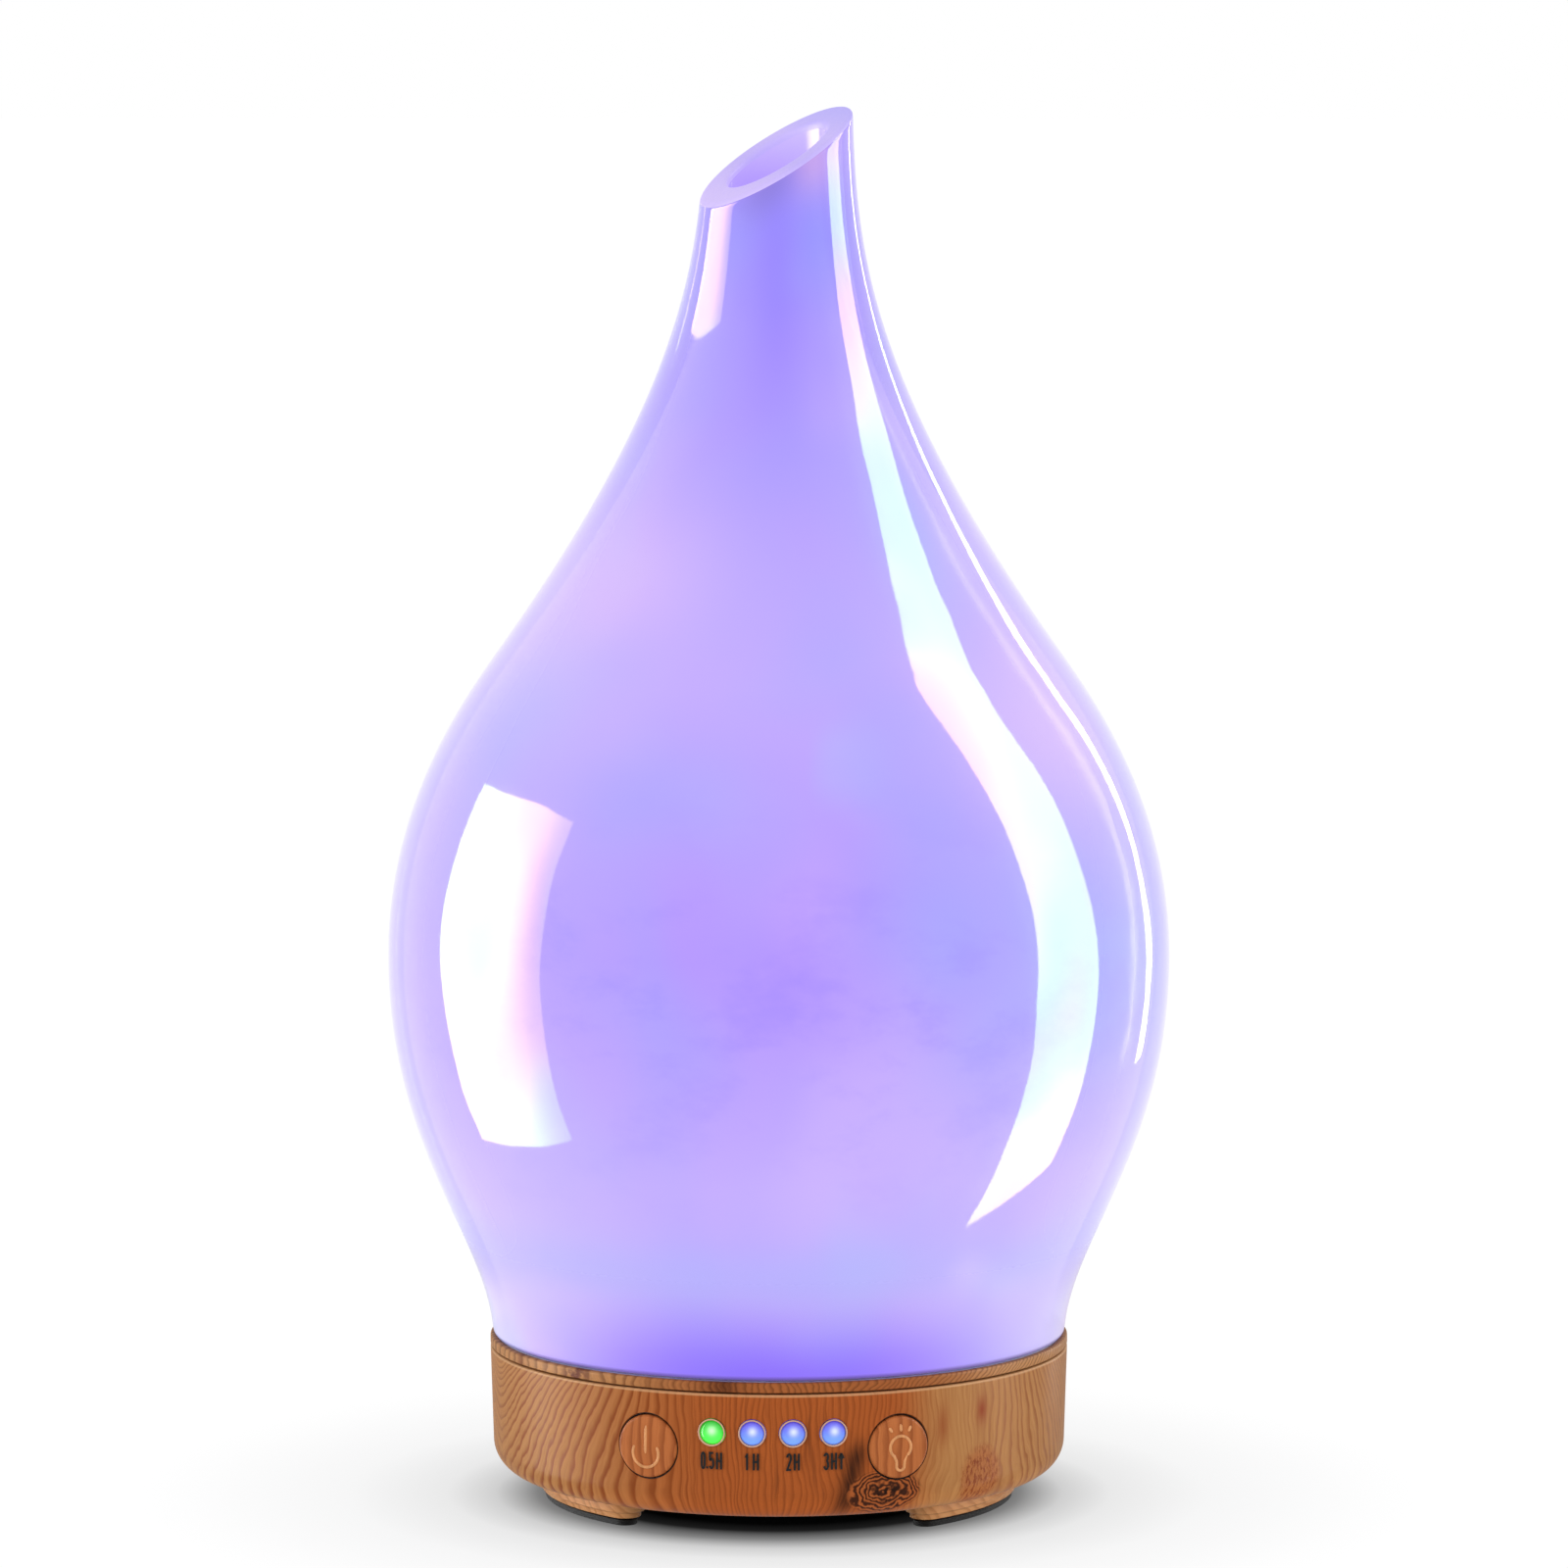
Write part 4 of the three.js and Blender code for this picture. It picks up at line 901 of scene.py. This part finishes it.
def dome(rho):
    """Distance of a button's face from the Z axis at a distance from its own axis."""
    return 50.52 - 0.0165 * rho * rho


def icon_stroke(points, radius, lift):
    return tube([(x, y, dome(math.hypot(x, y)) + lift) for x, y in points], radius)


def line_points(start, end, steps=8):
    return [(start[0] + (end[0] - start[0]) * s / steps, start[1] + (end[1] - start[1]) * s / steps)
            for s in range(steps + 1)]


def bulb_outline():
    globe = ellipse((0, 0.1), 1.9, 1.9, -52, 232, 36)
    neck = line_points((-0.75, -2.3), (-0.7, -3.2), 4) + ellipse((0, -3.2), 0.7, 0.7, 180, 360, 10)
    return globe + neck + line_points((0.7, -3.2), (0.75, -2.3), 4) + [globe[0]]


ICONS = {
    "mist": [line_points((0, 3.6), (0, -1.1)), ellipse((0, -1.1), 2.4, 2.4, 150, 390, 28)],
    "light": [bulb_outline(), line_points((-1.5, 2.7), (-2.0, 3.5), 5),
              line_points((0.1, 2.8), (0.1, 4.0), 5), line_points((1.5, 2.7), (2.0, 3.6), 5)],
}

button_profile = [(0, 44.5), (1.5, 44.5), (1.5, 46), (6.2, 46), (6.3, 46.1), (6.3, 46.6), (6.2, 46.7),
                  (5.35, 46.7), (5.35, 49.5)]
button_profile += [(4.75 + 0.6 * math.cos(a), 49.5 + (dome(4.75) - 49.5) * math.sin(a))
                   for a in (math.radians(step * 15) for step in range(1, 6))]
button_profile += [(4.75 * (1 - step / 12), dome(4.75 * (1 - step / 12))) for step in range(13)]

liner_profile = rounded([(5.5, 46.9), (5.63, 46.9), (5.63, 49.3), (5.5, 49.3)], 0.03)

for name, azimuth in BUTTON_AZIMUTHS.items():
    place = facing(azimuth, BUTTON_HEIGHT)
    button = f"{name}_button"
    remake(button, moved(turn(button_profile, 96), place), button_wood[name], "wood_cap", body=button)
    # the ridge carries the painted highlight; the wider groove part is sunk so it only just shows round the
    # ridge, a dark outline of painted shade rather than a real groove
    for part, radius, lift, material in (("ridge", 0.26, 0.0, icon_ridge),
                                         ("groove", 0.44, -0.39, icon_outline_shade)):
        strokes = joined(*(icon_stroke(points, radius, lift) for points in ICONS[name]))
        add(f"{name}_icon_{part}", moved(strokes, place), material, body=button, slot="wood_cap")
    add(f"{name}_button_liner", moved(turn(liner_profile, 96), place), black_plastic, slot="black_plastic")


# ---- Timer lenses, rims and labels ----

lens_profile = [(0, 46.2), (2.7, 46.2), (2.7, 46.9), (2.05, 46.9)] + ellipse((0, 49.45), 2.05, 0.8, 0, 90, 10)
rim_profile = rounded(
    [(2.1, 49.2), (2.26, 49.2), (2.26, 49.9), (2.34, 50.0), (2.34, 50.08), (2.1, 50.06)], 0.04)

for number, azimuth in enumerate(TIMER_AZIMUTHS, 1):
    place = facing(azimuth, TIMER_HEIGHT)
    lens, slot = (green_lens, "green_lens") if number == 1 else (violet_lens, "violet_lens")
    remake(f"timer_lens_{number}", moved(turn(lens_profile, 64), place), lens, slot)
    add(f"timer_rim_{number}", moved(turn(rim_profile, 64), place), rim_plastic, slot="white_plastic")


# strokes of the timer marks, in a cell 1 wide and 1 high
GLYPHS = {
    "0": [ellipse((0.5, 0.72), 0.42, 0.28, 0, 180) + ellipse((0.5, 0.28), 0.42, 0.28, 180, 360)
          + [(0.92, 0.72)]],
    ".": [[(0.5, -0.01), (0.5, 0.13)]],
    "5": [[(0.9, 1), (0.1, 1), (0.1, 0.58)] + ellipse((0.48, 0.32), 0.42, 0.3, 130, -150)],
    "H": [[(0.08, -0.04), (0.08, 1.04)], [(0.92, -0.04), (0.92, 1.04)], [(0.08, 0.5), (0.92, 0.5)]],
    "1": [[(0.62, 1.04), (0.62, -0.04)], [(0.0, 0.76), (0.62, 0.96)]],
    "2": [ellipse((0.5, 0.74), 0.42, 0.26, 170, -20) + [(0.08, 0.0), (0.96, 0.0)]],
    "3": [ellipse((0.46, 0.77), 0.42, 0.23, 165, -90), ellipse((0.46, 0.27), 0.44, 0.27, 90, -165)],
    "^": [[(0.5, -0.04), (0.5, 0.96)], [(-0.04, 0.66), (0.54, 1.0)], [(0.46, 1.0), (1.04, 0.66)]],
    " ": [],
}
# a narrow dot or space may take up less than nothing, because the gaps beside it are wide
GLYPH_WIDTHS = {"0": 0.62, ".": -0.22, "1": 0.42, " ": -0.1, "H": 0.84, "^": 0.7,
                "2": 0.74, "3": 0.74, "5": 0.74}
GLYPH_GAP = 0.5
LABEL_SIZE = 2.65
LABEL_STROKE = 0.37


def ribbon(points, width, low, high):
    """A flat stroke of even width along a path, as a thin solid."""
    path = [Vector(p) for p in points]
    sides = []
    for index, point in enumerate(path):
        before = (point - path[index - 1]).normalized() if index else None
        after = (path[index + 1] - point).normalized() if index < len(path) - 1 else None
        ahead = ((before or after) + (after or before)).normalized()
        normal = Vector((-ahead.y, ahead.x))
        turn_share = max(0.6, ahead.dot(after or before))
        sides.append((point + normal * width / 2 / turn_share, point - normal * width / 2 / turn_share))
    vertices = []
    for left, right in sides:
        vertices += [(*left, low), (*right, low), (*right, high), (*left, high)]
    faces = [(0, 1, 2, 3)]
    for start in range(0, len(vertices) - 4, 4):
        for edge in range(4):
            following = (edge + 1) % 4
            faces.append((start + edge, start + edge + 4, start + following + 4, start + following))
    end = len(vertices) - 4
    faces.append((end + 3, end + 2, end + 1, end))
    return vertices, faces


def label(name, text, azimuth):
    """Printed marks, wrapped onto the base under a lens."""
    widths = [GLYPH_WIDTHS[mark] for mark in text]
    start = -(sum(widths) + GLYPH_GAP * (len(text) - 1)) / 2
    strokes = []
    for mark, width in zip(text, widths):
        for points in GLYPHS[mark]:
            placed = [(start + x * width, (y - 0.5) * LABEL_SIZE) for x, y in points]
            strokes.append(ribbon(placed, LABEL_STROKE, 0.0, 0.025))
        start += width + GLYPH_GAP
    vertices, faces = joined(*strokes)
    wrapped = []
    for x, y, z in vertices:
        angle = math.radians(azimuth) + x / BASE_RADIUS
        radius = BASE_RADIUS + 0.008 + z
        wrapped.append((radius * math.sin(angle), -radius * math.cos(angle), LABEL_HEIGHT + y))
    add(name, (wrapped, faces), label_ink, slot="black_plastic")


for number, (text, azimuth) in enumerate(zip(("0.5H", "1 H", "2H", "3H^"), TIMER_AZIMUTHS), 1):
    label(f"timer_label_{number}", text, azimuth)


# ---- Feet, pads and bottom cover ----

def foot_outline(inset):
    """An arc with round ends, centred on +X."""
    inner, outer = 35 + inset, 42 - inset
    middle, half = (inner + outer) / 2, (outer - inner) / 2
    end = 27 - math.degrees((half + inset) / middle)
    x, y = middle * math.cos(math.radians(end)), middle * math.sin(math.radians(end))
    return (ellipse((0, 0), outer, outer, -end, end, 24)
            + ellipse((x, y), half, half, end, end + 180, 12)[1:-1]
            + ellipse((0, 0), inner, inner, end, -end, 24)
            + ellipse((x, -y), half, half, 180 - end, 360 - end, 12)[1:-1])


FOOT_LEVELS = [(1.3, 1.05), (1.38, 0.87), (1.55, 0.8), (2.05, 0.8), (2.2, 0.72), (2.3, 0.5), (2.42, 0.15),
               (2.6, 0.0), (3.9, 0.0), (4.1, 0.08), (4.2, 0.3)]
PAD_LEVELS = [(0.0, 1.55), (0.08, 1.44), (0.22, 1.4), (0.8, 1.4), (0.94, 1.44), (1.0, 1.55)]

for index, angle in enumerate(FOOT_CENTRES, 1):
    turning = Matrix.Rotation(math.radians(angle), 4, "Z")
    pegs = [moved(rod(1.3, 4.0, 6.4, 24), on_circle(PEG_CIRCLE, offset)) for offset in PEG_OFFSETS]
    foot = moved(joined(loft(foot_outline, FOOT_LEVELS), *pegs), turning)
    remake(f"foot_{index}", foot, wood_foot, "wood_print")
    remake(f"foot_pad_{index}", moved(loft(foot_outline, PAD_LEVELS), turning), black_rubber, "black_rubber")


def slot_cutter(length, y):
    half = 0.9
    def outline(inset):
        reach = length / 2 - half
        right = [(reach + half * math.cos(math.radians(a)), half * math.sin(math.radians(a)))
                 for a in range(-90, 91, 15)]
        left = [(-x, -y) for x, y in right]
        return [(a + 26.5, b + y) for a, b in right + left]
    return loft(outline, [(3.5, 0), (7.5, 0)])


cover_profile = rounded([(0, 4.5), (42, 4.5, 0.5), (42, 6.5, 0.4), (0, 6.5)], 0.4)
recess = [(0, 3.5), (3.15, 3.5), (3.15, 4.45), (2.9, 4.75), (2.9, 6.2), (1.6, 6.2), (1.6, 9), (0, 9)]
cover_cuts = [slot_cutter(15 - abs(step), step * 3.6) for step in (-2, -1, 0, 1, 2)]
cover_cuts += at_bosses(turn(recess, 48))
cover_cuts += [moved(rod(1.6, 3.5, 7.5, 32), on_circle(PEG_CIRCLE, centre + offset))
               for centre in FOOT_CENTRES for offset in PEG_OFFSETS]
bottom_cover = mesh_object("bottom_cover_fine", turn(cover_profile, 160))
unite(bottom_cover, *at_bosses(rod(4, 5.5, 8.0, 48), 37.8))
unite(bottom_cover, *(moved(rod(2, 5.5, 8.7, 24), shift(x, y)) for x in (-24, 10) for y in (-24, 24)))
remake("bottom_cover", bottom_cover, black_plastic, "black_plastic", cuts=cover_cuts)

screw_profile = rounded(
    [(0, 4.6), (1.9, 4.6, 0.3), (2.5, 5.1, 0.3), (2.5, 5.9), (1.3, 5.9), (1.3, 13.7), (0, 15)], 0.1)
cross = joined(box_shape(2.6, 0.55, 4.0, 5.3, 0.05), box_shape(0.55, 2.6, 4.0, 5.3, 0.05))
for index, (screw, notch) in enumerate(zip(at_bosses(turn(screw_profile, 48)), at_bosses(cross)), 1):
    remake(f"cover_screw_{index}", screw, steel, "steel", cuts=[notch], crossing=True)


# ---- DC socket ----

socket_place = facing(180, SOCKET_HEIGHT)
jack = mesh_object("dc_jack_fine", moved(box_shape(9, 9.4, 35.2, 46.2, 0.4), socket_place))
nose = rounded([(0, 45.5), (4, 45.5), (4, 49.2, 0.4), (0, 49.2)], 0.2)
unite(jack, moved(turn(nose, 64), socket_place))
bore = [(0, 38), (3.2, 38), (3.2, 48.9), (3.5, 49.4), (3.5, 50), (0, 50)]
remake("dc_jack", jack, black_plastic, "black_plastic", cuts=[moved(turn(bore, 64), socket_place)])
pin_profile = rounded([(0, 37.8), (1, 37.8), (1, 44.6, 0.6), (0, 44.6)], 0.1)
add("dc_jack_pin", moved(turn(pin_profile, 32), socket_place), steel, slot="steel")


# ---- Water tank, inner cover and air duct ----

beside = shift(DUCT_OFFSET, 0)
tank_profile = rounded(
    [(8.6, 21.2, 0.3), (41, 21.2, 0.8), (41, 26.6, 0.2), (46, 26.6), (46, 28.3), (45.6, 28.3, 0.2),
     (45.2, 31.8, 0.4), (43.6, 31.8, 0.4), (43.2, 28.3, 0.4), (41, 28.3, 0.4), (41, 76, 0.7), (39, 76, 0.7),
     (39, 25.7, 3), (36.8, 23.8, 3), (9.6, 23.2, 0.6), (8.6, 22.8, 0.3)], 0.25)
tank = mesh_object("water_tank_fine", turn(tank_profile, 160))
collar = turn([(8.7, 21.9), (11.6, 21.9), (11.6, 27.7), (11.3, 28), (8.7, 28)], 64)
unite(tank, turn([(12.5, 17.3), (14.5, 17.3), (14.5, 21.9), (12.5, 21.9)], 64), moved(collar, beside),
      *at_bosses(rod(2.6, 8.3, 21.9, 32)))
tank_cuts = [moved(rod(9.2, 20, 30, 64), beside)] + at_bosses(rod(1.6, 7.3, 18, 24))
remake("water_tank", tank, white_plastic, "white_plastic", cuts=tank_cuts)


def crown_points(radius, top_radius, top):
    """The rounded shoulder of the inner cover, from its side up to its top."""
    shoulder = 80
    curve = ellipse((top_radius, shoulder), radius - top_radius, top - shoulder, 0, 90, 18)
    return [(*point, 0) for point in curve]


lid_profile = rounded(
    [(41.4, 72), (43.2, 72)] + crown_points(43.2, 11, 94)
    + [(9, 95.5, 1.2), (9, 108, 0.7), (7, 108, 0.7), (7, 93.5, 1)]
    + crown_points(38.6, 9, 92.2)[::-1] + [(38.6, 76.3), (41.4, 76.3)], 0.25)
remake("inner_cover", turn(lid_profile, 160), white_plastic, "white_plastic", body="inner_lid")

duct_profile = rounded(
    [(11, 14.3), (12, 14.3), (12, 15.3), (7, 20, 2), (7, 68.4), (5.7, 68.4), (5.7, 19.6, 2), (11, 15.3)], 0.2)
slant = shift(DUCT_OFFSET, 0, 64) @ Matrix.Rotation(math.radians(-30), 4, "Y")
remake("air_duct", moved(turn(duct_profile, 72), beside), white_plastic, "white_plastic",
       cuts=[moved(box_shape(40, 40, 0, 30, 0.1), slant)])


# ---- CAD pieces that stay, with finished materials ----

KEPT = {
    black_plastic: ["mist_switch", "light_switch", "led_holder", "fan_frame", "fan_rotor", "controller_chip"],
    white_plastic: ["mist_plunger", "light_plunger", "transducer_retainer"],
    led_resin: [f"timer_led_{n}" for n in range(1, 5)] + [f"glow_led_{n}" for n in range(1, 7)],
    silicone: ["tank_seal", "transducer_gasket", "duct_seal"],
    brass: ["transducer_disc"],
    steel: [f"retainer_screw_{n}" for n in range(1, 4)],
    green_board: ["driver_board", "control_board"],
    white_board: ["glow_board"],
    copper: ["drive_inductor"],
    blue_sleeve: ["filter_capacitor"],
    aluminium: ["heat_sink"],
    red_wire: ["transducer_lead", "fan_lead"],
    white_wire: ["jack_lead"],
}
for material, names in KEPT.items():
    for name in names:
        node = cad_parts[name]
        node.data.materials.clear()
        node.data.materials.append(material)


# ---- Floor, light and camera ----

def quad(name, corners, material):
    piece = raw_object(name, (corners, [(0, 1, 2, 3)]), scale=1)
    piece.data.materials.append(material)
    return piece


def grey(level):
    return tone(level, level, level)


def floor_white():
    """A pale floor whose soft shadow around the base is part of its colour."""
    surface = Surface("floor_white")
    away = (surface.x * surface.x + surface.y * surface.y).root()
    shadow = surface.ramp(away / 120, (0.24, grey(0)), (0.29, grey(26)), (0.35, grey(130)), (0.41, grey(206)),
                          (0.48, grey(232)), (0.62, grey(245)), (0.85, grey(252)), (1.0, grey(255)))
    surface.set(colour=(0.02, 0.02, 0.02, 1), roughness=0.9, specular=0.0, emission=shadow, glow=1.0)
    return surface.material


floor = quad("floor", [(-6, -6, 0), (6, -6, 0), (6, 6, 0), (-6, 6, 0)], floor_white())
floor.visible_glossy = False

world = bpy.data.worlds.new("studio")
bpy.context.scene.world = world
world.use_nodes = True
background = world.node_tree.nodes["Background"]
background.inputs["Color"].default_value = (1, 1, 1, 1)
seen = new_node(world.node_tree, "LightPath", {}).outputs["Is Camera Ray"]
strength = new_node(world.node_tree, "MapRange", {"Value": seen, "To Min": 0.45, "To Max": 1.0})
world.node_tree.links.new(strength.outputs[0], background.inputs["Strength"])


def area_light(name, place, target, width, height, power):
    """A broad soft light that isn't mirrored in the glass."""
    lamp = bpy.data.lights.new(name, "AREA")
    lamp.shape = "RECTANGLE"
    lamp.size, lamp.size_y = width, height
    lamp.energy = power
    piece = placed_object(name, lamp)
    piece.location = place
    piece.rotation_euler = (Vector(target) - Vector(place)).to_track_quat("-Z", "Y").to_euler()
    piece.visible_glossy = False


area_light("side_light_left", (-1.0, -0.9, 0.6), (0, 0, 0.05), 0.7, 0.9, 6)
area_light("side_light_right", (1.0, -0.9, 0.6), (0, 0, 0.05), 0.7, 0.9, 6)
area_light("top_light", (0, -0.2, 1.8), (0, 0, 0), 1.2, 1.2, 6)


def softbox(name, corners, radiance, dim=1.0):
    """A glowing card that only shows in glossy reflections. `dim` is its share of light in front."""
    surface = Surface(name)
    front = 1 - surface.y.rise(-360, -60)
    glow = (front * (dim - 1) + 1) * radiance
    surface.set(colour=(0, 0, 0, 1), specular=0.0, emission=(1, 1, 1, 1), glow=glow)
    card = quad(name, corners, surface.material)
    for ray in ("camera", "diffuse", "transmission", "shadow"):
        setattr(card, f"visible_{ray}", False)


softbox("window_left", [(-1, -0.36, 0.68), (-1, 0.45, 0.50), (-1, 0.38, -0.46), (-1, -0.36, -0.60)], 11, 0.4)
softbox("strip_right", [(1, -0.22, 1.4), (1, 0.26, 1.2), (1, 0.26, -0.55), (1, -0.14, -0.94)], 10)
softbox("strip_behind",
        [(0.72, 0.74, 0.60), (0.68, 0.80, 0.60), (0.68, 0.80, -0.17), (0.72, 0.74, -0.19)], 14)

optics = bpy.data.cameras.new("camera")
optics.lens = 198.1
optics.sensor_width = 36
optics.clip_start = 0.05
camera = placed_object("camera", optics)
camera.location = (0.0318, -1.4757, 0.2966)
camera.rotation_euler = (math.radians(83.32), 0, math.radians(1.2))
bpy.context.scene.camera = camera
bpy.context.scene.view_settings.view_transform = "Standard"
